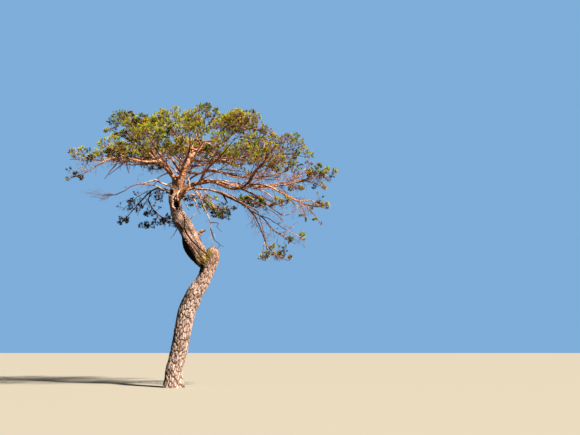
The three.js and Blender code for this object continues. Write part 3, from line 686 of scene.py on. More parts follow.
def painted_shadow_at(name, share):
    """How much painted shadow the bark of a limb has at some shares of its length: 1 within the limb's
    dark part, falling to nothing over a little way beyond its ends."""
    low, high = PAINTED_SHADOW_PARTS.get(name, NO_PART)
    return (step_between(low - DARK_FADE, low + DARK_FADE, share)
            * step_between(high + DARK_FADE, high - DARK_FADE, share))


def limb_line(limb):
    """A limb's centres and radii: the smooth line of its route, and a radius that falls evenly
    along it from root to tip."""
    line = smooth_line(limb.route, ROUTE_STEPS)
    line = evenly(line, max(LEAST_ROWS, int(length_of(line) / ROW_STEP)))
    share = np.linspace(0, 1, len(line))
    radius = root_radius(limb) + (tip_radius(limb) - root_radius(limb)) * share
    return np.column_stack([line, radius])


def sway(points, width, seed):
    """A smooth noise of a width at some points, one for each of x, y and z."""
    return np.stack([lumps(points, width, seed + k) for k in range(3)], axis=-1)


def limb_skin(line, sides, seed, collar=COLLAR_GROWTH, wander=WANDER):
    """Rings round a limb. Its centres sway by a smooth noise that is nothing at both ends, and its
    radius has a collar at the root that dies away as exp(-length / collar length), and lumps."""
    share = np.linspace(0, 1, len(line))
    reach = share * length_of(line)
    aside = wander * np.sin(np.pi * share)[:, None] * sway(line[:, :3], WANDER_WIDTH, seed)
    centre = line[:, :3] + aside
    radius = line[:, 3] * (1 + collar * np.exp(-reach / COLLAR_LENGTH))
    out = directions_round(centre, sides)
    bare = centre[:, None] + radius[:, None, None] * out
    return bare + (radius[:, None] * rough(bare, LIMB_LUMPS, seed))[..., None] * out


# How wide the patterns on thin bark and bare wood are: the flakes, the pale scars that they leave,
# the dirt, the browner places in the wood, and its splits, drawn coarser than life so that they show
PEEL_WIDTH = 0.030
PEEL_DEPTH = 0.004
SCAR_WIDTH = 0.055
DIRT_WIDTH = 0.12
BROWN_WIDTH = 0.09
SPLIT_WIDTH = 0.020
SPLIT_DEPTH = 0.003


def flaking_bark():
    """Young pine bark: thin orange skin that peels in papery flakes, paler where a flake has just
    gone and brown where dirt and lichen hold, and painted near black as shadow where the crown shades
    the limb. It gives the eye the glow of the limbs in the sun."""
    material, tree, shader = finish_of("flaking orange bark", 0.78, 0.2)
    dark = add(tree, "ShaderNodeAttribute", attribute_name="dark").outputs["Fac"]
    peel = mottle(tree, PEEL_WIDTH)
    skin = layer(tree, "#804c30", "#e8ac84", peel, 0.38, 0.64)
    skin = layer(tree, skin, "#f6dcc8", mottle(tree, SCAR_WIDTH), 0.54, 0.66)
    skin = layer(tree, skin, "#34201a", mottle(tree, DIRT_WIDTH), 0.51, 0.66)
    # Painted shadow of the crown: near black where the limb's dark mark is full
    skin = layer(tree, skin, "#2c1a15", dark)
    flakes = {"Height": peel, "Strength": 0.5, "Distance": PEEL_DEPTH}
    bump = add(tree, "ShaderNodeBump", flakes).outputs["Normal"]
    feed(shader, {"Base Color": skin, "Normal": bump})
    return material


def weathered_wood():
    """Dead pine wood that has lost its bark: bleached and finely split along the grain, and painted
    browner as shade where the crown shades it. It gives the eye a pale thread against the dark crown."""
    material, tree, shader = finish_of("weathered dead wood", 0.88)
    dark = add(tree, "ShaderNodeAttribute", attribute_name="dark").outputs["Fac"]
    grain = mottle(tree, SPLIT_WIDTH)
    wood = layer(tree, "#b98a6c", "#f0d8c0", grain, 0.34, 0.66)
    wood = layer(tree, wood, "#6e4630", mottle(tree, BROWN_WIDTH), 0.52, 0.64)
    # Painted shade of the crown: browner where the dark mark is full
    wood = layer(tree, wood, "#8a5638", dark)
    splits = {"Height": grain, "Strength": 0.4, "Distance": SPLIT_DEPTH}
    bump = add(tree, "ShaderNodeBump", splits).outputs["Normal"]
    feed(shader, {"Base Color": wood, "Normal": bump})
    return material


orange_bark = flaking_bark()
dead_wood = weathered_wood()
lines = {limb.name: limb_line(limb) for limb in LIMBS}
for order, limb in enumerate(LIMBS):
    line = lines[limb.name]
    sides = MAIN_SIDES if limb.parent == "trunk" else BOUGH_SIDES
    wander = DEAD_WANDER if is_dead(limb) else WANDER
    points = limb_skin(line, sides, LIMB_SEED + LIMB_SEED_STEP * order, wander=wander)
    material, slot = (dead_wood, "dead_wood") if is_dead(limb) else (orange_bark, "bough_bark")
    # The crown's painted shadow along each limb
    dark = LIMB_DARKNESS * painted_shadow_at(limb.name, np.linspace(0, 1, len(line)))
    piece(limb.name + "_skin", points, skin_faces(1, len(line), sides), material, [limb.name],
          {"dark": np.repeat(dark, sides)})


# Thin boughs
# The thinner limbs that fan out beside each bough, with the same orange bark. The ones that show
# clear of the needles have routes of their own: each is listed with the bough whose mass it helps
# to carry, its radius at both ends, and its route.
SIDE_BOUGHS = [
    ("right_high", 0.024, 0.01,
     [(0.45, 0, 6.6), (0.68, -0.1, 6.63), (0.94, -0.15, 6.51), (1.26, -0.1, 6.48), (1.59, 0.1, 6.6)]),
    ("right_front", 0.032, 0.012,
     [(0.2, 0, 5.72), (0.29, -0.1, 5.84), (0.61, -0.2, 6.01), (0.97, -0.3, 6.07), (1.29, -0.35, 5.92),
      (1.76, -0.4, 5.81), (2.1, -0.7, 5.83)]),
    ("far_right", 0.022, 0.009,
     [(0.62, -0.18, 5.8), (0.97, -0.42, 5.73), (1.31, -0.5, 5.69), (1.77, -0.5, 5.59),
      (2.14, -0.5, 5.47), (2.82, -0.55, 5.58), (3.22, -0.6, 5.67), (3.41, -0.6, 5.79),
      (3.63, -0.6, 6.03)]),
    ("right_low", 0.03, 0.01,
     [(2.05, -0.38, 5.6), (2.28, -0.5, 5.59), (2.59, -0.6, 5.49), (2.93, -0.65, 5.31),
      (3.35, -0.7, 5.07), (3.76, -0.7, 5.06), (3.98, -0.7, 4.91)]),
    ("right_low", 0.02, 0.008,
     [(1.8, -0.36, 5.53), (2, -0.5, 5.5), (2.45, -0.6, 5.35), (2.71, -0.65, 5.15), (3.07, -0.7, 5.06),
      (3.43, -0.7, 4.89)]),
    ("right_under", 0.026, 0.008,
     [(1.65, -0.35, 5.52), (1.76, -0.4, 5.5), (2.23, -0.6, 5.24), (2.51, -0.7, 4.99),
      (2.79, -0.75, 4.75), (3.07, -0.75, 4.63), (3.39, -0.75, 4.84)]),
    ("droop", 0.026, 0.009,
     [(1, -0.46, 5.4), (1.28, -0.62, 5.3), (1.91, -0.72, 4.96), (2.27, -0.75, 4.74),
      (2.36, -0.76, 4.53), (2.45, -0.78, 4.17), (2.52, -0.78, 3.86)]),
    ("droop", 0.018, 0.007,
     [(1.22, -0.52, 5.34), (1.63, -0.63, 5.18), (2.06, -0.68, 4.78), (2.25, -0.7, 4.42),
      (2.44, -0.72, 4.09)]),
    ("right_under", 0.014, 0.005,
     [(1.98, -0.62, 5.24), (2.23, -0.7, 5.05), (2.68, -0.8, 4.74), (2.93, -0.85, 4.52),
      (3.07, -0.85, 4.3), (3.3, -0.85, 4.27)]),
    ("left", 0.03, 0.012,
     [(0.14, 0.02, 6.12), (0.01, -0.2, 6.31), (-0.16, -0.3, 6.46), (-0.19, -0.35, 6.64),
      (0.02, -0.4, 6.75), (0.36, -0.4, 6.7)]),
    ("left", 0.026, 0.01,
     [(0.06, 0, 6.02), (-0.08, -0.2, 6.2), (-0.24, -0.35, 6.38), (-0.47, -0.5, 6.47),
      (-0.8, -0.6, 6.71)]),
    ("right_low", 0.009, 0.005,
     [(3.46, -0.7, 5.06), (3.48, -0.72, 4.87), (3.46, -0.72, 4.65)]),
    ("right_low", 0.009, 0.005,
     [(3.56, -0.7, 5.06), (3.68, -0.75, 4.87), (3.76, -0.75, 4.65)]),
]

# Limbs round the fork that carry nothing where they can be seen: the loop beside the leader, the
# ones that hug the trunk above the hole, and short dark ones between the fork and the left bough
LEAFLESS = [
    (0.024, 0.016, [(0.27, -0.02, 6.48), (0.36, -0.06, 6.52), (0.45, -0.14, 6.4), (0.61, -0.2, 6.28),
                    (0.82, -0.24, 6.28), (0.86, -0.22, 6.37), (0.65, -0.16, 6.49), (0.51, -0.04, 6.62)]),
    (0.024, 0.012, [(-0.01, -0.08, 5.13), (0.02, -0.2, 5.18), (0.13, -0.28, 5.26), (0.3, -0.34, 5.29),
                    (0.46, -0.36, 5.19), (0.55, -0.34, 4.96), (0.65, -0.3, 4.77)]),
    (0.022, 0.016, [(0.36, -0.26, 5.51), (0.2, -0.32, 5.37), (0.08, -0.25, 5.24), (0.01, -0.13, 5.14)]),
    (0.024, 0.018, [(0.04, -0.08, 5.52), (-0.02, -0.2, 5.42), (-0.05, -0.23, 5.3),
                    (-0.06, -0.12, 5.18)]),
    (0.014, 0.009, [(0.13, -0.2, 5.24), (0.17, -0.26, 5.15), (0.24, -0.3, 5.03), (0.32, -0.32, 4.87)]),
    (0.026, 0.01, [(-0.02, 0.02, 6.06), (-0.2, -0.2, 6.31), (-0.22, -0.3, 6.41), (-0.35, -0.4, 6.52),
                   (-0.51, -0.45, 6.65), (-0.62, -0.5, 6.76)]),
    (0.02, 0.01, [(-0.06, 0.06, 6.02), (-0.27, 0.2, 6.25), (-0.37, 0.3, 6.36), (-0.41, 0.4, 6.6)]),
    (0.022, 0.01, [(0.06, 0, 6.14), (-0.07, -0.1, 6.24), (-0.23, -0.25, 6.39), (-0.43, -0.35, 6.4),
                   (-0.64, -0.4, 6.38), (-0.88, -0.36, 6.44)]),
    (0.026, 0.01, [(0.46, 0.06, 6.77), (0.3, -0.15, 6.75), (0.13, -0.25, 6.79), (-0.05, -0.3, 6.79),
                   (-0.12, -0.32, 6.9), (-0.2, -0.35, 7.01), (-0.34, -0.4, 7.12)]),
    (0.014, 0.008, [(0.2, -0.2, 6.77), (0.26, -0.2, 6.91), (0.3, -0.2, 7), (0.32, -0.2, 7.16)]),
    (0.024, 0.01, [(0.49, 0.08, 6.84), (0.66, -0.15, 6.94), (0.78, -0.2, 6.95), (1.05, -0.25, 6.93),
                   (1.24, -0.3, 7.01), (1.46, -0.3, 7.04)]),
    (0.022, 0.01, [(0.54, 0.1, 7), (0.79, 0.2, 7), (0.87, 0.3, 6.89), (1.08, 0.35, 6.75),
                   (1.36, 0.4, 6.71)]),
    (0.02, 0.01, [(0.32, 0.05, 6.6), (0.62, 0.2, 6.74), (0.73, 0.25, 6.72), (0.9, 0.3, 6.67),
                  (1.12, 0.3, 6.67)]),
    (0.022, 0.01, [(0.12, 0.02, 5.95), (0.32, 0.15, 6.24), (0.44, 0.2, 6.37), (0.53, 0.25, 6.52),
                   (0.66, 0.3, 6.66)]),
    (0.018, 0.008, [(0.24, -0.12, 5.62), (0.39, -0.15, 5.58), (0.63, -0.25, 5.31), (0.84, -0.3, 5.06),
                    (1.02, -0.35, 4.87)]),
    (0.018, 0.008, [(0.34, -0.08, 5.66), (0.48, 0.1, 5.59), (0.67, 0.15, 5.35), (1, 0.2, 5.11),
                    (1.24, 0.25, 5.02)]),
    (0.016, 0.008, [(0.55, -0.2, 5.7), (0.73, -0.2, 5.45), (0.9, -0.2, 5.28), (1.2, -0.2, 5.14)]),
    (0.016, 0.009, [(2.4, -0.4, 6.21), (2.45, -0.42, 6.44), (2.46, -0.42, 6.67), (2.45, -0.42, 6.92)]),
    (0.009, 0.004, [(2.49, -0.7, 3.95), (2.56, -0.72, 3.72), (2.58, -0.73, 3.5), (2.66, -0.74, 3.33)]),
    (0.009, 0.004, [(2.47, -0.7, 3.98), (2.46, -0.72, 3.74), (2.4, -0.72, 3.54), (2.44, -0.74, 3.32)]),
    (0.008, 0.004, [(2.6, -0.7, 3.85), (2.78, -0.71, 3.62), (2.84, -0.72, 3.44), (2.98, -0.72, 3.3)]),
]

# The rest leave their bough part of the way along, keep beside it and end in the same mass
THIN_SEED = 5
THIN_RINGS = 30
THIN_SIDES = 8
THIN_STATIONS = 7
THIN_STEPS = 8
THIN_START = (0.05, 0.55)
THIN_ROOT_SHARE = 0.50
THIN_ROOT_LIMITS = (0.013, 0.026)
THIN_TIP_RADIUS = 0.0065
THIN_TAPER_POWER = 0.8
THIN_SPREAD = 0.55
THIN_FLATNESS = (1, 1, 0.6)
THIN_DROP = 0.30
THIN_PARTING_POWER = 1.3
THIN_SWAY = 0.17
THIN_SWAY_SHARE = (0.4, 1.0)
THIN_WANDER = 0.014
THIN_WANDER_WIDTH = 0.13
THIN_WANDER_SEED = 60
THIN_LUMPS = (0.18, 0.05, 64)
THIN_DARKNESS = 0.7


def thin_bough(line, heart, size, random):
    """A limb beside another: at a share t of its way it is at the bough's own point for t, plus a
    part of the way to its own end that grows as t to the 1.3, plus a sway of sin(pi t)."""
    begin = random.uniform(*THIN_START)
    t = np.linspace(0, 1, THIN_STATIONS)
    guide = np.stack([np.interp(begin + (1 - begin) * t, np.linspace(0, 1, len(line)), column)
                      for column in line.T], axis=1)
    toward = unit(random.normal(size=3)) * THIN_FLATNESS
    end = np.asarray(heart) + THIN_SPREAD * toward * size - (0, 0, THIN_DROP * size[2])
    aside = unit(random.normal(size=3)) * THIN_SWAY * random.uniform(*THIN_SWAY_SHARE)
    parting = (t ** THIN_PARTING_POWER)[:, None] * (end - guide[-1, :3])
    route = guide[:, :3] + parting + np.sin(np.pi * t)[:, None] * aside
    root = np.clip(THIN_ROOT_SHARE * guide[0, 3], *THIN_ROOT_LIMITS)
    radius = root + (THIN_TIP_RADIUS - root) * t ** THIN_TAPER_POWER
    return evenly(smooth_line(np.column_stack([route, radius]), THIN_STEPS), THIN_RINGS)


def routed(root, tip, route):
    """A thin limb on a route of its own: the smooth line through it, thinning evenly."""
    radius = np.linspace(root, tip, len(route))
    return evenly(smooth_line(np.column_stack([route, radius]), THIN_STEPS), THIN_RINGS)


random = np.random.default_rng(THIN_SEED)
thin_of = {limb.name: [thin_bough(lines[limb.name], limb.heart, limb.size, random)
                       for _ in range(limb.beside)] for limb in LIMBS}
for name, root, tip, route in SIDE_BOUGHS:
    thin_of["bough_" + name].append(routed(root, tip, route))
thin_lines = np.array([line for several in thin_of.values() for line in several]
                      + [routed(*limb) for limb in LEAFLESS])
centres = thin_lines[..., :3]
centres = centres + THIN_WANDER * sway(centres, THIN_WANDER_WIDTH, THIN_WANDER_SEED)
height, width, seed = THIN_LUMPS
radii = thin_lines[..., 3, None] * (1 + height * lumps(centres, width, seed))[..., None]
points = centres[..., None, :] + radii[..., None] * directions_round(centres, THIN_SIDES)
share = np.linspace(0, 1, THIN_RINGS)
# The crown's painted shadow along each thin bough, after the bough that it runs beside
dark = [painted_shadow_at(name, share) for name, several in thin_of.items() for _ in several]
dark = THIN_DARKNESS * np.array(dark + [0 * share] * len(LEAFLESS))
piece("thin_boughs", points, skin_faces(len(thin_lines), THIN_RINGS, THIN_SIDES), orange_bark,
      marks={"dark": np.repeat(dark[..., None], THIN_SIDES, axis=2)})


# Branchlets
# The green part of each mass: leafy branchlets that grow on from the limbs by the same seeded rule
# as the solids' sprays, carried on to finer ones. Each leaves the nearest free place of what has
# grown so far, bends up to the light, and ends in whorls of short shoots.
HEIGHT_STEP = 0.7548776662
TURN_STEP = 0.569840291
DEPTH_STEP = 0.6180339887
LOWEST_TARGET = -0.5
NEAREST_TARGET = 0.50
FURTHEST_TARGET = 0.92
FIRST_SEED = 1000
SEED_STEP = 37
DRAW_FACTOR = 48271
DRAW_LIMIT = 2147483647
TARGETS_TRIED = 420
TURN_COST = 0.5
SHOOT_LIFT = 0.35
STEM_OVERSHOOT = 0.2
STEM_HOLD = 0.4
BRANCHLET_HOLD = 0.35
BRANCHLET_LENGTH = 0.30
LONGEST_IN_SPACE = 0.9
LONGEST_IN_REACH = 0.8
SHORTEST = 0.5
MIDDLE = 0.4
LIMB_MARGIN = 0.012
STEM_RADIUS = 0.03
TWIG_RADIUS = 0.011
TWIG_TIP_RADIUS = 0.0035
THINNER_THAN_PARENT = 0.85
UP = np.array([0.0, 0.0, 1.0])

# Where branchlets may leave the stem, the bough, the limbs beside it and each other, as shares of
# the length, and how thick a branchlet is there
STEM_PLACES = (0.25, 0.5, 0.75, 1.0)
BOUGH_PLACES = (0.62, 0.74, 0.86)
THIN_PLACES = (0.7, 0.8, 0.9, 1.0)
BRANCHLET_PLACES = (0.45, 0.72)
PLACE_RADIUS = 0.006

# How coarsely the limbs and the trunk are followed where something has to keep clear of them
LIMB_STEP = 6
TRUNK_STEPS = 2

# How a mass fills its space: how far apart its branchlets stand, how far their middle is from the
# heart across and up, and the share of the space's width and height that they fill
EVEN_MASS = (0.235, (0, 0), 1, 1)
OTHER_MASSES = {
    "far_left": (0.27, (0.05, 0.02), 0.8, 0.66),
    "far_left_low": (0.2, (0.04, -0.09), 0.7, 0.8),
    "left_front": (0.28, (0.02, 0), 0.62, 0.8),
    "left_top": (0.235, (0.1, 0.02), 0.88, 1),
    "left_centre": (0.215, (0, -0.05), 1, 0.92),
    "crown_top": (0.21, (0, -0.07), 1, 0.9),
    "peak": (0.215, (0, -0.06), 0.95, 0.95),
    "top_right": (0.21, (0, -0.02), 1, 0.92),
    "right_top": (0.21, (-0.05, -0.08), 0.95, 0.9),
    "front": (0.33, (0, 0.12), 1, 0.75),
    "front_right": (0.38, (0, 0.08), 0.95, 0.75),
    "right_front": (0.36, (0, 0.04), 0.88, 0.8),
    "right_middle": (0.34, (0, 0), 1, 1),
    "far_right": (0.23, (0, -0.02), 1, 1),
    "right_under": (0.22, (-0.1, 0.12), 0.66, 0.75),
    "right_low": (0.46, (0.1, 0.05), 0.6, 0.6),
    "droop": (0.28, (0, -0.06), 1, 1),
    "droop_outer": (0.36, (-0.12, 0), 0.8, 0.8),
    "under": (0.32, (0, 0), 1, 0.9),
    "back": (0.2, (0, 0), 1, 1),
    "back_left": (0.2, (0, 0), 1, 1),
    "back_right": (0.2, (0, 0), 1, 1),
    "shade_left": (0.25, (0.16, 0.14), 0.56, 0.66),
    "shade_low": (0.26, (0.14, -0.08), 0.64, 0.85),
}

# How much the crown shades a mass, from 0 to 1: it sets how much painted shade its needles take
# and how many of its shoots are bare
SHADED_MASSES = {
    "shade_left": 1, "shade_low": 1, "far_left_low": 0.6, "far_left": 0.15, "left_front": 0.14,
    "left_top": 0.12, "under": 0.1, "right_under": 0.06, "left_centre": 0.05,
}

# Smaller sprays beside the masses: the bough each one grows from, how far along it, then its heart,
# its size, how far apart its branchlets stand, and how much the crown shades it
SIDE_SPRAYS = [
    ("left_high", 1.00, (-2.06, 0.15, 7.37), (0.34, 0.32, 0.24), 0.24, 0),
    ("left_high", 0.90, (-1.86, -0.05, 7.18), (0.26, 0.24, 0.18), 0.20, 0),
    ("top_right", 1.00, (1.60, 0.25, 7.86), (0.32, 0.30, 0.20), 0.20, 0),
    ("right_high", 1.00, (2.34, 0.10, 7.34), (0.32, 0.28, 0.20), 0.22, 0),
    ("top_right", 0.80, (1.89, 0.20, 7.50), (0.40, 0.35, 0.24), 0.22, 0),
    ("right", 0.97, (3.36, -0.40, 6.44), (0.50, 0.40, 0.26), 0.24, 0),
    ("right", 0.80, (2.83, -0.20, 6.08), (0.34, 0.26, 0.20), 0.26, 0),
    ("far_right", 1.00, (3.90, -0.30, 6.06), (0.30, 0.26, 0.18), 0.20, 0),
    ("far_right", 0.90, (4.03, -0.35, 5.54), (0.26, 0.22, 0.14), 0.20, 0),
    ("far_right", 0.70, (3.38, -0.42, 5.46), (0.32, 0.20, 0.12), 0.20, 0),
    ("right_low", 1.00, (4.12, -0.45, 5.00), (0.20, 0.18, 0.14), 0.20, 0),
    ("right_low", 0.85, (3.56, -0.55, 4.60), (0.16, 0.16, 0.14), 0.22, 0),
    ("right_low", 1.00, (3.95, -0.50, 4.52), (0.16, 0.16, 0.12), 0.24, 0),
    ("right_under", 0.60, (2.40, -0.55, 4.95), (0.30, 0.26, 0.20), 0.17, 0),
    ("droop", 0.60, (2.14, -0.30, 5.10), (0.42, 0.32, 0.22), 0.17, 0),
    ("droop", 0.45, (1.86, -0.50, 5.14), (0.26, 0.20, 0.14), 0.18, 0),
    ("droop", 1.00, (2.50, -0.70, 3.46), (0.24, 0.20, 0.14), 0.20, 0),
    ("droop", 1.00, (3.00, -0.70, 3.48), (0.26, 0.20, 0.16), 0.22, 0),
    ("under", 1.00, (1.18, -0.20, 4.74), (0.36, 0.30, 0.18), 0.22, 0),
    ("under", 0.90, (1.38, -0.14, 5.00), (0.32, 0.26, 0.16), 0.30, 0),
    ("under", 0.35, (0.22, 0.34, 5.26), (0.24, 0.20, 0.15), 0.20, 1),
    ("shade_left", 0.50, (-0.71, 0.90, 5.58), (0.34, 0.24, 0.18), 0.22, 1),
    ("shade_left", 1.00, (-1.98, 1.45, 4.92), (0.20, 0.18, 0.16), 0.16, 1),
    ("shade_low", 0.70, (-1.14, 1.20, 5.12), (0.26, 0.20, 0.16), 0.21, 1),
    ("shade_low", 1.00, (-1.17, 1.15, 4.70), (0.28, 0.22, 0.15), 0.20, 1),
    ("shade_low", 1.00, (-0.50, 1.05, 4.76), (0.34, 0.26, 0.20), 0.20, 1),
    ("left", 0.60, (-0.82, 0.15, 6.30), (0.28, 0.22, 0.15), 0.20, 1),
    ("left", 0.95, (-0.62, -0.95, 7.12), (0.50, 0.42, 0.24), 0.28, 0),
    ("leader", 0.75, (0.42, -0.80, 7.28), (0.52, 0.42, 0.24), 0.28, 0),
    ("right_high", 0.90, (1.42, -1.00, 7.20), (0.50, 0.42, 0.24), 0.28, 0),
    ("back", 0.45, (-0.68, 1.05, 7.10), (0.55, 0.46, 0.24), 0.21, 0),
    ("back", 0.50, (0.52, 1.18, 7.18), (0.55, 0.46, 0.24), 0.21, 0),
    ("back_left", 0.70, (-1.30, 1.86, 7.02), (0.44, 0.46, 0.22), 0.22, 0),
    ("back_right", 0.70, (0.96, 1.95, 7.10), (0.40, 0.46, 0.22), 0.22, 0),
]


def seeded(seed, count):
    """Numbers from 0 to 1 drawn in order from one seed: each state is the last one times a factor,
    less as many times the limit as it holds, and gives its share of the limit."""
    drawn = []
    for _ in range(count):
        seed = seed * DRAW_FACTOR % DRAW_LIMIT
        drawn.append(seed / DRAW_LIMIT)
    return drawn


def targets_of(heart, size, start, phases):
    """Where branchlets end. The first carries the stem on through the heart; the rest fill the
    space evenly, at heights, turns and depths that go on by fixed steps and keep their fractions."""
    count = np.arange(TARGETS_TRIED)
    height = LOWEST_TARGET + (1 - LOWEST_TARGET) * ((phases[0] + HEIGHT_STEP * count) % 1)
    turn = 2 * np.pi * ((phases[1] + TURN_STEP * count) % 1)
    further = np.sqrt((phases[2] + DEPTH_STEP * count) % 1)
    depth = NEAREST_TARGET + (FURTHEST_TARGET - NEAREST_TARGET) * further
    flat = np.sqrt(1 - height ** 2)
    way = np.stack([flat * np.cos(turn), flat * np.sin(turn), height], axis=1)
    onward = heart - start
    first = heart + onward * FURTHEST_TARGET / np.linalg.norm(onward / size)
    return np.vstack([first, heart + depth[:, None] * way * size])


MASSES = [limb.mass.removeprefix("needles_") for limb in LIMBS]
_, _, spray_hearts, spray_sizes, _, spray_shades = zip(*SIDE_SPRAYS)
HEARTS = np.array([*(limb.heart for limb in LIMBS), *spray_hearts])
SIZES = np.array([*(limb.size for limb in LIMBS), *spray_sizes])
SHADED = np.array([*(SHADED_MASSES.get(mass, 0) for mass in MASSES), *spray_shades], float)
trunk_lines = [smooth_line(stations, TRUNK_STEPS) for stations in (LOWER_TRUNK, UPPER_TRUNK)]
limb_pieces = [line[::LIMB_STEP] for line in lines.values()] + trunk_lines
PIECE_START = np.vstack([line[:-1] for line in limb_pieces])
PIECE_END = np.vstack([line[1:] for line in limb_pieces])


def gap_to_limbs(points):
    """How far each point is from the bark of the nearest limb: the distance to the foot of the
    upright on each piece of centre line, less the radius there."""
    way = PIECE_END[:, :3] - PIECE_START[:, :3]
    offset = points[..., None, :] - PIECE_START[:, :3]
    share = np.clip((offset * way).sum(-1) / np.maximum((way * way).sum(-1), 1e-9), 0, 1)
    radius = PIECE_START[:, 3] + (PIECE_END[:, 3] - PIECE_START[:, 3]) * share
    return (np.linalg.norm(offset - share[..., None] * way, axis=-1) - radius).min(-1)


def depths(points):
    """How far each point lies from every heart, where 1 is the edge of that heart's space."""
    return np.linalg.norm((points[..., None, :] - HEARTS) / SIZES, axis=-1)


def along_bend(ends, t):
    """The point at t of a curve that leaves the first of four points for the last, by way of the
    others: (1-t)³ a + 3 (1-t)² t b + 3 (1-t) t² c + t³ d."""
    a, b, c, d = (ends[..., k, :] for k in range(4))
    t = np.asarray(t)[..., None]
    return (1 - t) ** 3 * a + 3 * (1 - t) ** 2 * t * b + 3 * (1 - t) * t ** 2 * c + t ** 3 * d


def heading_of_bend(ends, t):
    """The direction of the same curve, from its slope."""
    a, b, c, d = (ends[..., k, :] for k in range(4))
    t = np.asarray(t)[..., None]
    return unit((1 - t) ** 2 * (b - a) + 2 * (1 - t) * t * (c - b) + t ** 2 * (d - c))


def grow(order, name, along_bough, heart, size, spacing):
    """The branchlets of one space, as the four points of each one's bend and its radii at both
    ends. The space's stem leaves the bough at a share of its length."""
    line = lines[name][:int(along_bough * len(lines[name]))]
    tip, heading = line[-1], unit(line[-1, :3] - line[-2, :3])
    end = heart + STEM_OVERSHOOT * (heart - tip[:3])
    hold = tip[:3] + STEM_HOLD * np.linalg.norm(end - tip[:3]) * heading
    stem = np.array([tip[:3], (tip[:3] + 2 * hold) / 3, (end + 2 * hold) / 3, end])
    places = [(along_bend(stem, t), heading_of_bend(stem, t), tip[3] + (TWIG_RADIUS - tip[3]) * t)
              for t in STEM_PLACES]
    for side, shares in [(line, BOUGH_PLACES), *((thin, THIN_PLACES) for thin in thin_of[name])]:
        for share in shares:
            k = int(share * (len(side) - 1))
            places.append((side[k, :3], unit(side[k, :3] - side[k - 1, :3]), side[k, 3]))
    longest = min(BRANCHLET_LENGTH, LONGEST_IN_SPACE * np.mean(size))
    grown, middles = [(stem, min(tip[3], STEM_RADIUS), TWIG_RADIUS)], []
    phases = seeded(FIRST_SEED + SEED_STEP * order, 3)
    for target in targets_of(heart, size, tip[:3], phases):
        centres = np.array([place[0] for place in places])
        ways = target - centres
        reach = np.linalg.norm(ways, axis=1)
        turn = 1 - (unit(ways) * np.array([place[1] for place in places])).sum(1)
        best = int(np.argmin(reach * (1 + TURN_COST * turn)))
        start, along, radius = places[best]
        length = min(longest, LONGEST_IN_REACH * reach[best])
        axis = unit(unit(ways[best]) + SHOOT_LIFT * UP)
        neck = target - length * axis
        middle = target - MIDDLE * length * axis
        if length < SHORTEST * longest:
            continue
        if any(np.linalg.norm(middle - other) < spacing for other in middles):
            continue
        tests = np.array([target, middle, neck])
        depth = depths(tests)[:2, :len(LIMBS)]
        own = np.linalg.norm((tests[:2] - HEARTS[order]) / SIZES[order], axis=1)
        if (own > 1).any() or (order < len(LIMBS) and (depth.min(1) < own).any()):
            continue
        if (gap_to_limbs(tests) < LIMB_MARGIN).any():
            continue
        hold = start + BRANCHLET_HOLD * reach[best] * unit(along + unit(ways[best]))
        bend = np.array([start, hold, neck, target])
        grown.append((bend, min(TWIG_RADIUS, THINNER_THAN_PARENT * radius), TWIG_TIP_RADIUS))
        middles.append(middle)
        del places[best]
        for t in BRANCHLET_PLACES:
            places.append((along_bend(bend, t), heading_of_bend(bend, t), PLACE_RADIUS))
    return grown


living = [(order, limb) for order, limb in enumerate(LIMBS) if not is_dead(limb)]
grown = []
for order, limb in living:
    spacing, (aside, up), width, height = OTHER_MASSES.get(MASSES[order], EVEN_MASS)
    size = SIZES[order] * (width, width, height)
    grown.append(grow(order, limb.name, 1.0, HEARTS[order] + (aside, 0, up), size, spacing))
for order, (name, along_bough, heart, size, spacing, _) in enumerate(SIDE_SPRAYS, len(LIMBS)):
    grown.append(grow(order, "bough_" + name, along_bough, np.array(heart), np.array(size), spacing))

# Leafy shoots that stand straight on the boughs, where light comes through the crown
WAYSIDE_SEED = 8
WAYSIDE_STEP = 0.19
WAYSIDE_LENGTH = (0.10, 0.26)
WAYSIDE_ONWARD = 0.6
WAYSIDE_LIFT = 0.25
WAYSIDE_RISE = 0.25
WAYSIDE_MARGIN = 0.05
LEAFY_FROM = 0.45
LEAFY_TO = 0.97
LEAFY_OTHERWISE = {
    "bough_droop": 0.95, "bough_droop_outer": 0.88, "bough_right_under": 0.90, "bough_right_low": 0.88,
    "bough_far_right": 0.68, "bough_right_middle": 0.70, "bough_right": 0.65, "bough_shade_left": 0.85,
    "bough_back": 0.15, "bough_back_left": 0.20, "bough_back_right": 0.20,
}


def wayside(line, first, random):
    """Short leafy branchlets on a limb from a share of its length on, each leaving it to a random
    side, on and up, as the four points of their bends."""
    count = int((LEAFY_TO - first) * length_of(line) / WAYSIDE_STEP)
    share = first + (LEAFY_TO - first) * (np.arange(count) + random.random(count)) / max(count, 1)
    k = (share * (len(line) - 1)).astype(int)
    start, along = line[k, :3], unit(line[k, :3] - line[k - 1, :3])
    out = random.normal(size=(count, 3))
    out = unit(out - (out * along).sum(1, keepdims=True) * along)
    way = unit(out + WAYSIDE_ONWARD * along + WAYSIDE_LIFT * UP)
    way = way * random.uniform(*WAYSIDE_LENGTH, (count, 1))
    rise = WAYSIDE_RISE * np.linalg.norm(way, axis=1, keepdims=True) * UP
    return np.stack([start, start + way / 3, start + way * 2 / 3, start + way + rise], axis=1)


random = np.random.default_rng(WAYSIDE_SEED)
living_lines = [(limb, line) for _, limb in living for line in (lines[limb.name], *thin_of[limb.name])]
wayside_bends = np.concatenate([
    wayside(line, LEAFY_OTHERWISE.get(limb.name, LEAFY_FROM), random) for limb, line in living_lines])
wayside_bends = wayside_bends[gap_to_limbs(wayside_bends[:, 3]) > WAYSIDE_MARGIN]

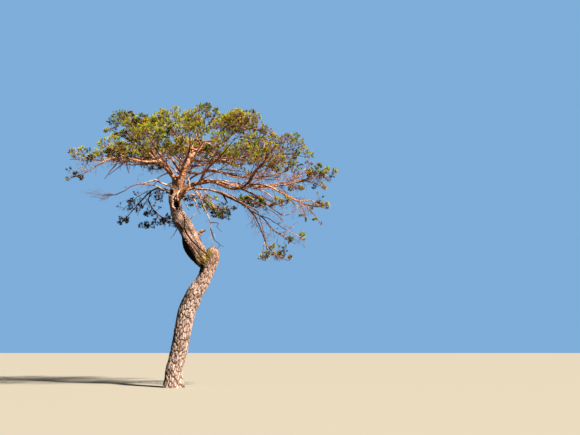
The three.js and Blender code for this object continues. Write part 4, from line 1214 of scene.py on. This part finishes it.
# The whorls of side shoots on a branchlet: where along it they stand, how many shoots each has, how
# long they are as a share of the branchlet, and how many degrees they lean out
WHORLS = [(0.42, 3, 0.54, 68), (0.57, 4, 0.58, 64), (0.72, 4, 0.52, 60), (0.85, 4, 0.44, 56),
          (0.95, 4, 0.30, 48)]
WAYSIDE_WHORLS = [(0.62, 2, 0.60, 58), (0.86, 2, 0.42, 48)]
SHOOT_SEED = 21
SHOOT_TURN_SPREAD = 0.25
SHOOT_LEAN_SPREAD = 8
SHOOT_LENGTH_SHARE = (0.8, 1.2)
SHOOT_RISE = 0.30
SHOOT_MARGIN = 0.02
SHOOT_RINGS = 4
SHOOT_SIDES = 3
SHOOT_PIECES = 2
SHOOT_RADII = (0.0048, 0.0032)
FURTHEST_TUFT = 1.03
BRANCHLET_RINGS = 9
BRANCHLET_SIDES = 5
BRANCHLET_TAPER_POWER = 0.7
WAYSIDE_RINGS = 5
WAYSIDE_SIDES = 4
WAYSIDE_RADII = (0.0065, 0.0035)


def across_of(directions):
    """Two directions square to each direction and to each other."""
    leaning = np.abs(directions[..., 2:]) < NEARLY_ALONG
    other = np.where(leaning, (0.0, 0.0, 1.0), (1.0, 0.0, 0.0))
    across = unit(np.cross(other, directions))
    return across, np.cross(directions, across)


def side_shoots(bends, lengths, whorls, random):
    """Side shoots in whorls: from the bend's point at t, each goes out by
    cos(lean) along + sin(lean) (cos(turn) across + sin(turn) side), turns going evenly round."""
    phase = random.uniform(0, 2 * np.pi, len(bends))
    made = []
    for number, (t, count, share, lean) in enumerate(whorls):
        start = along_bend(bends, t)
        along = heading_of_bend(bends, t)
        across, side = across_of(along)
        for k in range(count):
            turn = phase + number + 2 * np.pi * k / count
            turn = (turn + random.normal(0, SHOOT_TURN_SPREAD, len(bends)))[:, None]
            tilt = np.radians(lean + random.normal(0, SHOOT_LEAN_SPREAD, len(bends)))[:, None]
            way = np.cos(tilt) * along + np.sin(tilt) * (np.cos(turn) * across + np.sin(turn) * side)
            length = lengths * share * random.uniform(*SHOOT_LENGTH_SHARE, len(bends))
            made.append(np.concatenate([start, way * length[:, None]], axis=1))
    return np.concatenate(made).reshape(-1, 2, 3)


def owners(first, count, whorls):
    """Which branchlet each of its side shoots stands on, in the order that side_shoots makes them."""
    return np.tile(first + np.arange(count), sum(whorl[1] for whorl in whorls))


all_bends = np.array([bend for several in grown for bend, _, _ in several])
all_roots = np.array([root for several in grown for _, root, _ in several])
all_tips = np.array([tip for several in grown for _, _, tip in several])
is_stem = np.concatenate([[True] + [False] * (len(several) - 1) for several in grown])
leafy_bends = all_bends[~is_stem]
leafy_lengths = np.linalg.norm(leafy_bends[:, 3] - leafy_bends[:, 2], axis=1)
wayside_lengths = np.linalg.norm(wayside_bends[:, 3] - wayside_bends[:, 0], axis=1)
random = np.random.default_rng(SHOOT_SEED)
shoots = np.concatenate([
    side_shoots(leafy_bends, leafy_lengths, WHORLS, random),
    side_shoots(wayside_bends, wayside_lengths, WAYSIDE_WHORLS, random)])
spray = np.concatenate([
    owners(0, len(leafy_bends), WHORLS),
    owners(len(leafy_bends), len(wayside_bends), WAYSIDE_WHORLS)])
share = np.linspace(0, 1, SHOOT_RINGS)[:, None]
way_length = np.linalg.norm(shoots[:, 1], axis=1)[:, None, None]
shoot_lines = shoots[:, None, 0] + share * shoots[:, None, 1] + SHOOT_RISE * way_length * share ** 2 * UP

# A shoot is left out where it would touch a limb, or leave the space of its mass
ends = shoot_lines[:, -1]
inside = (depths(ends).min(1) < FURTHEST_TUFT) | (spray >= len(leafy_bends))
kept = (gap_to_limbs(ends) > SHOOT_MARGIN) & inside
shoot_lines, spray = shoot_lines[kept], spray[kept]


# The scales on a twig, drawn coarser than life so that they show
TWIG_SCALE_WIDTH = 0.05


def reddish_twig():
    """Pine twigs of the last few years: reddish-brown scaly skin, rough with the stubs of old
    needles. It gives the eye the warm brown that shows between the needles."""
    material, tree, shader = finish_of("reddish twig bark", 0.85)
    skin = layer(tree, "#5a382c", "#a4725a", mottle(tree, TWIG_SCALE_WIDTH), 0.36, 0.66)
    feed(shader, {"Base Color": skin})
    return material


def tubes(lines, radii, sides):
    """Rings round many lines at once: centre + radius times the direction out."""
    return lines[..., None, :] + radii[..., None, None] * directions_round(lines, sides)


def bend_lines(bends, rings):
    """Points along many bends at once, at equal steps of t."""
    return np.stack([along_bend(bends, t) for t in np.linspace(0, 1, rings)], axis=1)


twig_bark = reddish_twig()
needle_nodes = [limb.mass for _, limb in living]
t = np.linspace(0, 1, BRANCHLET_RINGS)
radii = all_roots[:, None] + (all_tips - all_roots)[:, None] * t ** BRANCHLET_TAPER_POWER
skins = tubes(bend_lines(all_bends, BRANCHLET_RINGS), radii, BRANCHLET_SIDES)
piece("branchlets", skins, skin_faces(len(skins), BRANCHLET_RINGS, BRANCHLET_SIDES), twig_bark,
      needle_nodes)
radii = np.linspace(*WAYSIDE_RADII, WAYSIDE_RINGS)
radii = np.broadcast_to(radii, (len(wayside_bends), WAYSIDE_RINGS))
skins = tubes(bend_lines(wayside_bends, WAYSIDE_RINGS), radii, WAYSIDE_SIDES)
piece("wayside_branchlets", skins, skin_faces(len(skins), WAYSIDE_RINGS, WAYSIDE_SIDES), twig_bark)
radii = np.broadcast_to(np.linspace(*SHOOT_RADII, SHOOT_RINGS), shoot_lines.shape[:2])
skins = tubes(shoot_lines, radii, SHOOT_SIDES)
for part, some in enumerate(np.array_split(skins, SHOOT_PIECES)):
    piece(f"shoots_{part + 1}", some, skin_faces(len(some), SHOOT_RINGS, SHOOT_SIDES), twig_bark)


# Needles
# Scots pine needles: stiff, waxy, a little twisted, about 50 mm long, all round the last length of
# each shoot. They are drawn wider than life, since one stands for a pair or two of them. Each tuft
# takes one of six greens and browns, of which the sunlit green is painted light and the shaded green
# painted shade, and each colour is one piece, or two where it has more needles than one piece may
# have.
NEEDLES_PER_TUFT = 32
NEEDLE_LENGTH = 0.048
NEEDLE_LENGTH_SHARE = (0.82, 1.12)
NEEDLE_WIDTH_SHARE = 0.15
NEEDLE_SEED = 33
MOST_TRIANGLES = 199000
TUFT_LENGTH = 0.040
TUFT_START = 0.7
LEAN_AT_BASE = 84
LEAN_AT_TIP = 16
LEAN_SPREAD = 7
GOLDEN_TURN = 2.399963
SPRAY_JITTER = 0.10
# The sunlit green is painted light and the shaded green is painted shade
NEEDLE_COLOURS = [
    ("shaded", "#1a2915", "#22331b"), ("deep", "#3f5819", "#4d681f"), ("fresh", "#80941e", "#98ac24"),
    ("sunlit", "#b8b92a", "#d0cf32"), ("olive", "#97842a", "#af9a32"), ("browned", "#8a572b", "#a26933"),
]
# The bands of wax on a needle, drawn coarser than life so that they show
WAX_WIDTH = 0.02

# A blade: a narrow foot, its widest a third of the way up, and a point
NEEDLE = np.array([(-0.3, 0, 0), (0.3, 0, 0), (0.5, 0, 0.35), (0, 0, 1), (-0.5, 0, 0.35)])
NEEDLE *= (NEEDLE_WIDTH_SHARE, 1, 1)
NEEDLE_FACES = np.array([(0, 1, 2, 3, 4)])
NEEDLE_TRIANGLES = 3

# The share of shoots that are bare: anywhere, low in a mass, on the right, and in the shade. Rise is
# the height in a mass, where 0 is its heart and 1 its top, and the right starts 0.8 m from the foot.
BARE_ELSEWHERE = 0.04
BARE_BELOW = 0.75
BARE_RIGHT = 0.30
BARE_SHADED = 0.42
RISE_BELOW = (0.12, -0.55)
RISE_RIGHT = (0.8, 0.2)
RIGHT_SIDE = (0.8, 3.4)
LEAST_SHARE = 0.004


def copies(shape, places, directions, sizes, turns):
    """One small shape repeated: place + size (x across + y side + z direction), with across turned
    round the direction. The result has one row of points for each copy."""
    across, side = across_of(directions)
    turned = np.cos(turns)[:, None] * across + np.sin(turns)[:, None] * side
    axes = np.stack([turned, np.cross(directions, turned), directions], axis=1)
    return places[:, None] + sizes[:, None, None] * np.einsum("pk,nkc->npc", shape, axes)


def copied_faces(faces, corners, count):
    """The faces of each copy of a shape of so many corners."""
    return (faces[None] + corners * np.arange(count)[:, None, None]).reshape(-1, faces.shape[1])


def tuft(places, directions, random):
    """The needles of many tufts, as places, directions, lengths and turns. Needle k stands at its
    share of the tuft, turned k golden turns, and leans out by 84 degrees at the base to 16 at the
    tip."""
    share = (np.arange(NEEDLES_PER_TUFT) + 0.5) / NEEDLES_PER_TUFT
    across, side = across_of(directions)
    phase = random.uniform(0, 2 * np.pi, (len(places), 1))
    turn = (phase + GOLDEN_TURN * np.arange(NEEDLES_PER_TUFT))[..., None]
    lean = LEAN_AT_BASE - (LEAN_AT_BASE - LEAN_AT_TIP) * share
    lean = np.radians(lean + random.normal(0, LEAN_SPREAD, (len(places), NEEDLES_PER_TUFT)))[..., None]
    out = np.cos(turn) * across[:, None] + np.sin(turn) * side[:, None]
    way = np.cos(lean) * directions[:, None] + np.sin(lean) * out
    root = places[:, None] + TUFT_LENGTH * share[:, None] * directions[:, None]
    length = NEEDLE_LENGTH * random.uniform(*NEEDLE_LENGTH_SHARE, way.shape[:2])
    return root.reshape(-1, 3), way.reshape(-1, 3), length.ravel(), turn.ravel()


def waxy_needles(name, deep, pale):
    """A needle's thin wax over green: a soft sheen with low contrast. Each needle is a little paler
    where its bands of wax show, and the tuft's place gives the crown its larger change of colour,
    which includes painted light and painted shade."""
    material, tree, shader = finish_of(f"waxy needles, {name}", 0.6, 0.2)
    wax = layer(tree, deep, pale, mottle(tree, WAX_WIDTH), 0.35, 0.65)
    feed(shader, {"Base Color": wax})
    return material


def colour_shares(rise, right, dark):
    """The share of each colour of needles at some places. In the crown's shade there is more painted
    shade, the shaded and the deep green, and less of the rest; the fresh and the sunlit green grow
    with the height in the mass as the deep green falls, painted light on top of each mass and painted
    shade below; the olive and the browned ones grow out to the right."""
    lit = 1 - dark
    bright = (0.38 + 0.30 * rise - 0.10 * right) * lit
    shares = {
        "shaded": 0.15 - 0.10 * rise + 2.0 * dark,
        "deep": 0.18 - 0.18 * rise - 0.06 * right + 0.3 * dark,
        "fresh": bright,
        "sunlit": bright,
        "olive": (0.06 + 0.38 * right) * lit,
        "browned": (0.02 + 0.15 * right) * lit,
    }
    return np.stack([shares[name] for name, _, _ in NEEDLE_COLOURS], axis=1).clip(LEAST_SHARE)


random = np.random.default_rng(NEEDLE_SEED)
bends = np.concatenate([leafy_bends, wayside_bends])
tuft_ends = np.concatenate([shoot_lines[:, -1], bends[:, 3]])
tuft_ways = np.concatenate([unit(shoot_lines[:, -1] - shoot_lines[:, -2]), heading_of_bend(bends, 1)])
spray = np.concatenate([spray, np.arange(len(bends))])

# Shoots low in a mass get too little light to keep their needles, so many of them are bare
nearest = depths(tuft_ends).argmin(1)
rise = (tuft_ends[:, 2] - HEARTS[nearest, 2]) / SIZES[nearest, 2]
right = step_between(*RIGHT_SIDE, tuft_ends[:, 0])
dark = SHADED[nearest]
bare = (BARE_ELSEWHERE + BARE_RIGHT * right * step_between(*RISE_RIGHT, rise)
        + BARE_BELOW * step_between(*RISE_BELOW, rise) * (1 - dark) + BARE_SHADED * dark)
green = random.random(len(tuft_ends)) > bare
tuft_ends, tuft_ways, spray, rise, right, dark = (
    column[green] for column in (tuft_ends, tuft_ways, spray, rise, right, dark))
tuft_starts = tuft_ends - TUFT_START * TUFT_LENGTH * tuft_ways

# Colour by place, with its painted light and painted shade, dealt out by spray, and each tuft
# strays a little from its spray
draw = random.random(len(bends))[spray] + SPRAY_JITTER * random.normal(size=len(spray))
shares = colour_shares(rise, right, dark)
limits = np.cumsum(shares / shares.sum(1, keepdims=True), axis=1)
kind = (draw[:, None] > limits).sum(1).clip(0, len(NEEDLE_COLOURS) - 1)
most = MOST_TRIANGLES // NEEDLE_TRIANGLES
for number, (name, deep, pale) in enumerate(NEEDLE_COLOURS):
    chosen = kind == number
    places, ways, lengths, turns = tuft(tuft_starts[chosen], tuft_ways[chosen], random)
    points = copies(NEEDLE, places, ways, lengths, turns)
    material = waxy_needles(name, deep, pale)
    for part, begin in enumerate(range(0, len(points), most)):
        some = points[begin:begin + most]
        faces = copied_faces(NEEDLE_FACES, len(NEEDLE), len(some))
        piece(f"needles_{name}_{part + 1}", some, [faces], material, smooth=False)


# Buds
# The winter buds that close each shoot: reddish-brown, resinous, pointed. They sit in the middle of
# the tuft and are drawn larger than life, so that a warm tip shows at the crown's edge.
BUD_SHARE = 0.45
BUD_LENGTH = (0.035, 0.055)
BUD_LIFT = 0.004
BUD_SEED = 44
MOST_TURN = 6
BUD = np.array([(0.28, 0, 0.3), (0, 0.28, 0.3), (-0.28, 0, 0.3), (0, -0.28, 0.3), (0, 0, 0), (0, 0, 1)])
BUD_FACES = np.array([(1, 0, 4), (2, 1, 4), (3, 2, 4), (0, 3, 4),
                      (0, 1, 5), (1, 2, 5), (2, 3, 5), (3, 0, 5)])

# The patches of resin on a bud, drawn coarser than life so that they show
RESIN_WIDTH = 0.01


def resinous_bud():
    """A pine bud: close reddish-brown scales, glazed here and there with paler resin. It gives the
    eye a small warm point in the middle of a tuft."""
    material, tree, shader = finish_of("resinous bud", 0.5)
    scales = layer(tree, "#a65a26", "#ca7538", mottle(tree, RESIN_WIDTH), 0.35, 0.65)
    feed(shader, {"Base Color": scales})
    return material


random = np.random.default_rng(BUD_SEED)
budded = random.random(len(tuft_ends)) < BUD_SHARE
ways, count = tuft_ways[budded], budded.sum()
points = copies(BUD, tuft_ends[budded] + BUD_LIFT * ways, ways,
                random.uniform(*BUD_LENGTH, count), random.uniform(0, MOST_TURN, count))
piece("buds", points, [copied_faces(BUD_FACES, len(BUD), count)], resinous_bud(),
      smooth=False)


# Bare twigs
# Dead twigs that the shade has killed, under the boughs and at the ends of the dead limbs. They are
# thin, crooked, brown or bleached, and fork twice.
BARE_SEED = 55
BARE_RINGS = 5
BARE_SIDES = 3
BARE_WOBBLE = 0.07
BARE_TAPER = 0.45
BARE_ONWARD = 0.5
BARE_FALL = 0.2
BARE_LENGTH = (0.10, 0.34)
BARE_PIECES = 2
FORKS = 2
FORK_ORDERS = 3
FORK_LENGTH = 0.55
FORK_LENGTH_SHARE = (0.6, 1.2)
FORK_THICKNESS = 0.62
FORK_SPREAD = 0.8

# Under the boughs: how far apart the twigs are, from where along the limb, how thick they are, and
# how far they droop for their length
UNDER_STEP = 0.125
UNDER_FROM = 0.22
UNDER_RADIUS = 0.0054
UNDER_DROOP = 0.10


def crooked(starts, ways, droop, random):
    """Twigs as lines: start + t way + droop t² downwards, and a wobble that grows along each."""
    t = np.linspace(0, 1, BARE_RINGS)[:, None]
    length = np.linalg.norm(ways, axis=1)[:, None, None]
    wobble = random.normal(size=(len(starts), BARE_RINGS, 3)) * BARE_WOBBLE * length * t
    return starts[:, None] + t * ways[:, None] - droop * length * t ** 2 * UP + wobble


def forks(lines, random):
    """Starts and ways of twigs that leave some lines: at random points in their outer part, each
    goes on along the line and out to one side, shorter by a share."""
    at = random.integers(1, BARE_RINGS - 1, (len(lines), FORKS))
    row = np.arange(len(lines))[:, None]
    start = lines[row, at]
    along = lines[row, at + 1] - start
    length = np.linalg.norm(lines[:, -1] - lines[:, 0], axis=1)[:, None, None]
    out = random.normal(size=start.shape)
    way = unit(unit(along) + FORK_SPREAD * unit(out)) * length * FORK_LENGTH
    way = way * random.uniform(*FORK_LENGTH_SHARE, (*at.shape, 1))
    return start.reshape(-1, 3), way.reshape(-1, 3)


def bare_growth(starts, ways, droop, radius, random):
    """Twigs with two orders of forks on them, as tube points and faces."""
    points, faces, ends, base = [], [], [], 0
    for level in range(FORK_ORDERS):
        twigs = crooked(starts, ways, droop, random)
        taper = radius * FORK_THICKNESS ** level * np.linspace(1, BARE_TAPER, BARE_RINGS)
        points.append(tubes(twigs, np.broadcast_to(taper, twigs.shape[:2]), BARE_SIDES).reshape(-1, 3))
        quads, caps = skin_faces(len(twigs), BARE_RINGS, BARE_SIDES)
        faces.append(quads + base)
        ends.append(caps + base)
        base += len(points[-1])
        starts, ways = forks(twigs, random)
    return np.concatenate(points), [np.concatenate(faces), np.concatenate(ends)]


def bare_starts(line, step, first, random):
    """Where bare twigs leave a limb from a share of its length on, and which way: out to a random
    side and a little on and down."""
    count = max(1, int((1 - first) * length_of(line) / step))
    k = ((first + (1 - first) * random.random(count)) * (len(line) - 2)).astype(int) + 1
    along = unit(line[k, :3] - line[k - 1, :3])
    out = random.normal(size=(count, 3))
    out = unit(out - (out * along).sum(1, keepdims=True) * along)
    way = unit(out + BARE_ONWARD * along - BARE_FALL * UP)
    return line[k, :3], way * random.uniform(*BARE_LENGTH, (count, 1))


random = np.random.default_rng(BARE_SEED)
pairs = [bare_starts(line, UNDER_STEP, UNDER_FROM, random) for _, line in living_lines]
starts, ways = (np.concatenate(several) for several in zip(*pairs))
for part in range(BARE_PIECES):
    points, faces = bare_growth(starts[part::BARE_PIECES], ways[part::BARE_PIECES], UNDER_DROOP,
                                UNDER_RADIUS, random)
    piece(f"bare_twigs_{part + 1}", points, faces, twig_bark)

# At the ends of the dead limbs: how many twigs each limb ends in, how thick they are, how far they
# spread in their space, and how brown they are. More of them stand along the limb's outer part.
DEAD_FANS = {"dead_twigs_left": (8, 0.006, 0.6, 0.95), "dead_twigs_hanging": (3, 0.005, 0.55, 0.4)}
FAN_LENGTH_SHARE = (0.6, 1.2)
FAN_DROOP = 0.04
BESIDE_STEP = 0.16
BESIDE_FROM = 0.40
BESIDE_LENGTH = 0.7

for order, limb in enumerate(LIMBS):
    if not is_dead(limb):
        continue
    random = np.random.default_rng(BARE_SEED + order)
    count, thickness, reach, dark = DEAD_FANS[limb.mass]
    line, tip = lines[limb.name], lines[limb.name][-1, :3]
    toward = reach * unit(random.normal(size=(count, 3))) * SIZES[order]
    ends = HEARTS[order] + toward * random.uniform(*FAN_LENGTH_SHARE, (count, 1))
    side_starts, side_ways = bare_starts(line, BESIDE_STEP, BESIDE_FROM, random)
    starts = np.concatenate([np.broadcast_to(tip, (count, 3)), side_starts])
    ways = np.concatenate([ends - tip, BESIDE_LENGTH * side_ways])
    points, faces = bare_growth(starts, ways, FAN_DROOP, thickness, random)
    piece(limb.mass + "_fan", points, faces, dead_wood, [limb.mass],
          {"dark": np.full(len(points), dark)})


# Snags and stubs
# What is left of limbs that broke off: a thick splintered snag and a thin one on the trunk, a
# second strand beside the dead limb, all of bare wood, and short stubs under the boughs in dark bark,
# partly their own dead bark and partly painted shade where the crown shades them.
SNAGS = [
    [(0.33, -0.07, 4.16, 0.06), (0.58, -0.11, 4.25, 0.052), (0.69, -0.15, 4.3, 0.046),
     (0.785, -0.17, 4.32, 0.028)],
    [(0.56, -0.13, 4.26, 0.016), (0.65, -0.16, 4.19, 0.014), (0.665, -0.17, 4.12, 0.012),
     (0.66, -0.17, 4.05, 0.007)],
    [(0.08, -0.02, 4.6, 0.024), (0.29, 0.01, 4.69, 0.017), (0.45, 0.05, 4.85, 0.009)],
    [(-0.15, -0.02, 5.6, 0.03), (-0.53, -0.2, 5.71, 0.022), (-0.68, -0.25, 5.79, 0.019),
     (-0.92, -0.27, 5.69, 0.017), (-1.2, -0.29, 5.63, 0.014)],
    [(0.16, -0.02, 5.86, 0.016), (0.39, -0.3, 5.98, 0.012), (0.54, -0.4, 6.03, 0.01),
     (0.79, -0.45, 6.05, 0.006)],
    [(-0.08, -0.08, 5.85, 0.015), (0.06, -0.28, 5.9, 0.013), (0.24, -0.32, 5.86, 0.012),
     (0.31, -0.36, 5.71, 0.011), (0.34, -0.36, 5.48, 0.01)],
]
DARK_STUBS = [
    [(1.29, -0.48, 5.3, 0.03), (1.35, -0.49, 5.19, 0.024), (1.43, -0.5, 5.04, 0.012)],
    [(-1.7, -0.41, 6.34, 0.02), (-1.85, -0.42, 6.1, 0.015), (-2.06, -0.5, 5.74, 0.007)],
    [(-1.45, -0.37, 6.35, 0.018), (-1.61, -0.4, 6.18, 0.014), (-1.95, -0.48, 5.86, 0.007)],
    [(-1.5, -0.38, 6.35, 0.018), (-1.48, -0.4, 6.15, 0.016), (-1.41, -0.4, 5.94, 0.01)],
    [(-0.02, -0.08, 4.4, 0.012), (-0.11, -0.2, 4.19, 0.008), (-0.19, -0.25, 4.05, 0.004)],
    [(-0.33, -0.05, 6.05, 0.02), (-0.39, -0.1, 6.01, 0.018), (-0.6, -0.15, 5.88, 0.014),
     (-0.74, -0.2, 5.73, 0.009)],
    [(-0.59, -0.19, 5.8, 0.012), (-0.65, -0.22, 5.72, 0.01), (-0.72, -0.26, 5.62, 0.007)],
    [(-0.12, 0.03, 5.83, 0.022), (-0.27, -0.1, 5.71, 0.017), (-0.39, -0.16, 5.64, 0.012)],
    [(-0.15, -0.12, 5.94, 0.017), (-0.08, -0.17, 5.82, 0.016), (-0.02, -0.175, 5.65, 0.01)],
    [(0.99, -0.64, 4.27, 0.013), (1.02, -0.64, 4.19, 0.013), (1.09, -0.64, 3.99, 0.011),
     (1.25, -0.64, 3.84, 0.008), (1.18, -0.62, 3.72, 0.005)],
    [(0.96, -0.64, 4.45, 0.01), (1.19, -0.66, 4.44, 0.009), (1.17, -0.68, 4.33, 0.008),
     (1.3, -0.7, 4.18, 0.005)],
    [(1.22, -0.64, 3.86, 0.007), (1.3, -0.65, 3.81, 0.006), (1.37, -0.66, 3.77, 0.004)],
]
SNAG_SIDES = 14
SNAG_RINGS = 40
SNAG_COLLAR = 0.3
SNAG_SEED = 300
SNAG_SEED_STEP = 9
STUB_SEED = 400
SPLINTER = 0.010
DRY_SCALE_WIDTH = 0.03


def stubs(name, routes, material, seed):
    """Broken limbs as one piece: skins like the boughs', with each point of the last ring moved in
    or out along the limb by a random splinter."""
    stub_lines = np.array([evenly(smooth_line(route, ROUTE_STEPS), SNAG_RINGS) for route in routes])
    skins = np.stack([limb_skin(line, SNAG_SIDES, seed + SNAG_SEED_STEP * k, SNAG_COLLAR)
                      for k, line in enumerate(stub_lines)])
    splinter = SPLINTER * np.random.default_rng(seed).normal(size=(len(routes), SNAG_SIDES, 1))
    skins[:, -1] += splinter * unit(stub_lines[:, -1, :3] - stub_lines[:, -2, :3])[:, None]
    piece(name, skins, skin_faces(len(routes), SNAG_RINGS, SNAG_SIDES), material)


def dark_bark_and_painted_shade():
    """Bark that has dried on a dead stub: dark brown, dull, in scales with greyer edges. Its dark is
    partly the stub's own and partly painted shade, for limbs that stand in the crown's shade. It gives
    the eye a dark stroke in the gaps under the crown."""
    material, tree, shader = finish_of("dead twig bark and painted shade", 0.9, 0.1)
    scales = layer(tree, "#4a2e24", "#6a4638", mottle(tree, DRY_SCALE_WIDTH), 0.35, 0.65)
    feed(shader, {"Base Color": scales})
    return material


stubs("snags", SNAGS, dead_wood, SNAG_SEED)
# Painted shade: the stubs in the crown's shade take the dark bark
stubs("dark_stubs", DARK_STUBS, dark_bark_and_painted_shade(), STUB_SEED)


# Moss
# Cushions of moss and crusts of yellow lichen that hold on where the burl keeps wet. They are low
# domes of a few centimetres, pressed close together on the bark.
MOSS_SEED = 77
MOSS_COUNT = 460
MOSS_ABOVE = 3.25
MOSS_LEAST = 0.5
MOSS_SIZES = (0.009, 0.020)
MOSS_TILT = 0.03
MOSS_SUNK = 0.004
LICHEN_COUNT = 70
LICHEN_PLACE = (0.785, -0.33, 3.47)
LICHEN_REACH = 0.075
BURL_HEART = (0.88, -0.115, 3.6)
DOME_RINGS = [(0.0, 1.0), (0.55, 0.80), (0.90, 0.38)]
DOME_HEIGHT = 0.6
DOME_SIDES = 7
FELT_WIDTH = 0.02


def dome():
    """A low dome: rings of points at a height and a width, closed by a point above and a flat
    base. The faces come by their number of corners."""
    turn = 2 * np.pi * np.arange(DOME_SIDES) / DOME_SIDES
    rings = [np.stack([wide * np.cos(turn), wide * np.sin(turn), np.full(DOME_SIDES, high)], axis=1)
             for high, wide in DOME_RINGS]
    points = np.concatenate([*rings, [(0, 0, 1.0)]])
    quads, _ = skin_faces(1, len(DOME_RINGS), DOME_SIDES)
    last = (len(DOME_RINGS) - 1) * DOME_SIDES + np.arange(DOME_SIDES)
    top = np.stack([last, np.roll(last, -1), np.full(DOME_SIDES, len(points) - 1)], axis=1)
    return points * (1, 1, DOME_HEIGHT), (quads, top, np.arange(DOME_SIDES)[None, ::-1])


def cushion(name, code):
    """Moss or lichen: a dull felt of tiny leaves or crust that drinks the light, browner where it
    is dry. It gives the eye the burl's spots of olive and yellow."""
    material, tree, shader = finish_of(f"{name} cushion", 0.95, 0.15)
    felt = layer(tree, code, "#8f7a3a", mottle(tree, FELT_WIDTH), 0.35, 0.65)
    feed(shader, {"Base Color": felt})
    return material


random = np.random.default_rng(MOSS_SEED)
bark_places, bark_moss = np.concatenate(bark_places), np.concatenate(bark_moss)
mossy = np.flatnonzero((bark_moss > MOSS_LEAST) & (bark_places[:, 2] > MOSS_ABOVE))
mossy = random.choice(mossy, MOSS_COUNT)
crusted = np.flatnonzero(np.linalg.norm(bark_places - LICHEN_PLACE, axis=1) < LICHEN_REACH)
crusted = random.choice(crusted, LICHEN_COUNT)
places = bark_places[np.concatenate([mossy, crusted])]
ways = unit(places - BURL_HEART + MOSS_TILT * random.normal(size=places.shape))
sizes = random.uniform(*MOSS_SIZES, len(places))
turns = random.uniform(0, MOST_TURN, len(places))
dome_points, dome_faces = dome()
cushions = copies(dome_points, places - MOSS_SUNK * ways, ways, sizes, turns)
for name, code, some in [("moss", "#706a30", cushions[:MOSS_COUNT]),
                         ("lichen", "#ccb228", cushions[MOSS_COUNT:])]:
    faces = [copied_faces(shape, len(dome_points), len(some)) for shape in dome_faces]
    piece(f"{name}_cushions", some, faces, cushion(name, code))


# Studio
# A plain pale floor and plain soft light: a warm sun from high on the front right, as it stands in
# the photograph, and an even surround, which is a plain blue to the camera. The floor throws less
# light back at the tree than its colour says, as dull ground would.
FLOOR_SIZE = 400.0
SUN_FROM = (0.69, -0.53, 0.78)
SUN_STRENGTH = 11.0
SUN_SOFTNESS = 5
SURROUND_STRENGTH = 0.10
BACKDROP_STRENGTH = 0.80

half = FLOOR_SIZE / 2
corners = [(-half, -half, 0), (half, -half, 0), (half, half, 0), (-half, half, 0)]
floor_mesh = bpy.data.meshes.new("floor")
floor_mesh.from_pydata(corners, [], [(0, 1, 2, 3)])
floor = bpy.data.objects.new("floor", floor_mesh)
paper, tree, shader = finish_of("pale paper", 0.95, 0.1)
seen = add(tree, "ShaderNodeLightPath").outputs["Is Camera Ray"]
feed(shader, {"Base Color": layer(tree, "#443e33", "#a09c94", seen)})
floor_mesh.materials.append(paper)
bpy.context.scene.collection.objects.link(floor)

sun = bpy.data.objects.new("sun", bpy.data.lights.new("sun", "SUN"))
sun.data.energy = SUN_STRENGTH
sun.data.angle = np.radians(SUN_SOFTNESS)
sun.data.color = colour("#fff3de")[:3]
east, north, up = SUN_FROM
sun.rotation_euler = (np.arctan2(np.hypot(east, north), up), 0, np.arctan2(east, -north))
bpy.context.scene.collection.objects.link(sun)

world = bpy.data.worlds.new("surround")
world.use_nodes = True
surround = world.node_tree
seen = add(surround, "ShaderNodeLightPath").outputs["Is Camera Ray"]
levels = {"Value": seen, "To Min": SURROUND_STRENGTH, "To Max": BACKDROP_STRENGTH}
strength = add(surround, "ShaderNodeMapRange", levels).outputs["Result"]
blue = layer(surround, "#c4dbf0", "#8cc0f0", seen)
feed(surround.nodes["Background"], {"Color": blue, "Strength": strength})
bpy.context.scene.world = world
bpy.context.scene.view_settings.view_transform = "Standard"
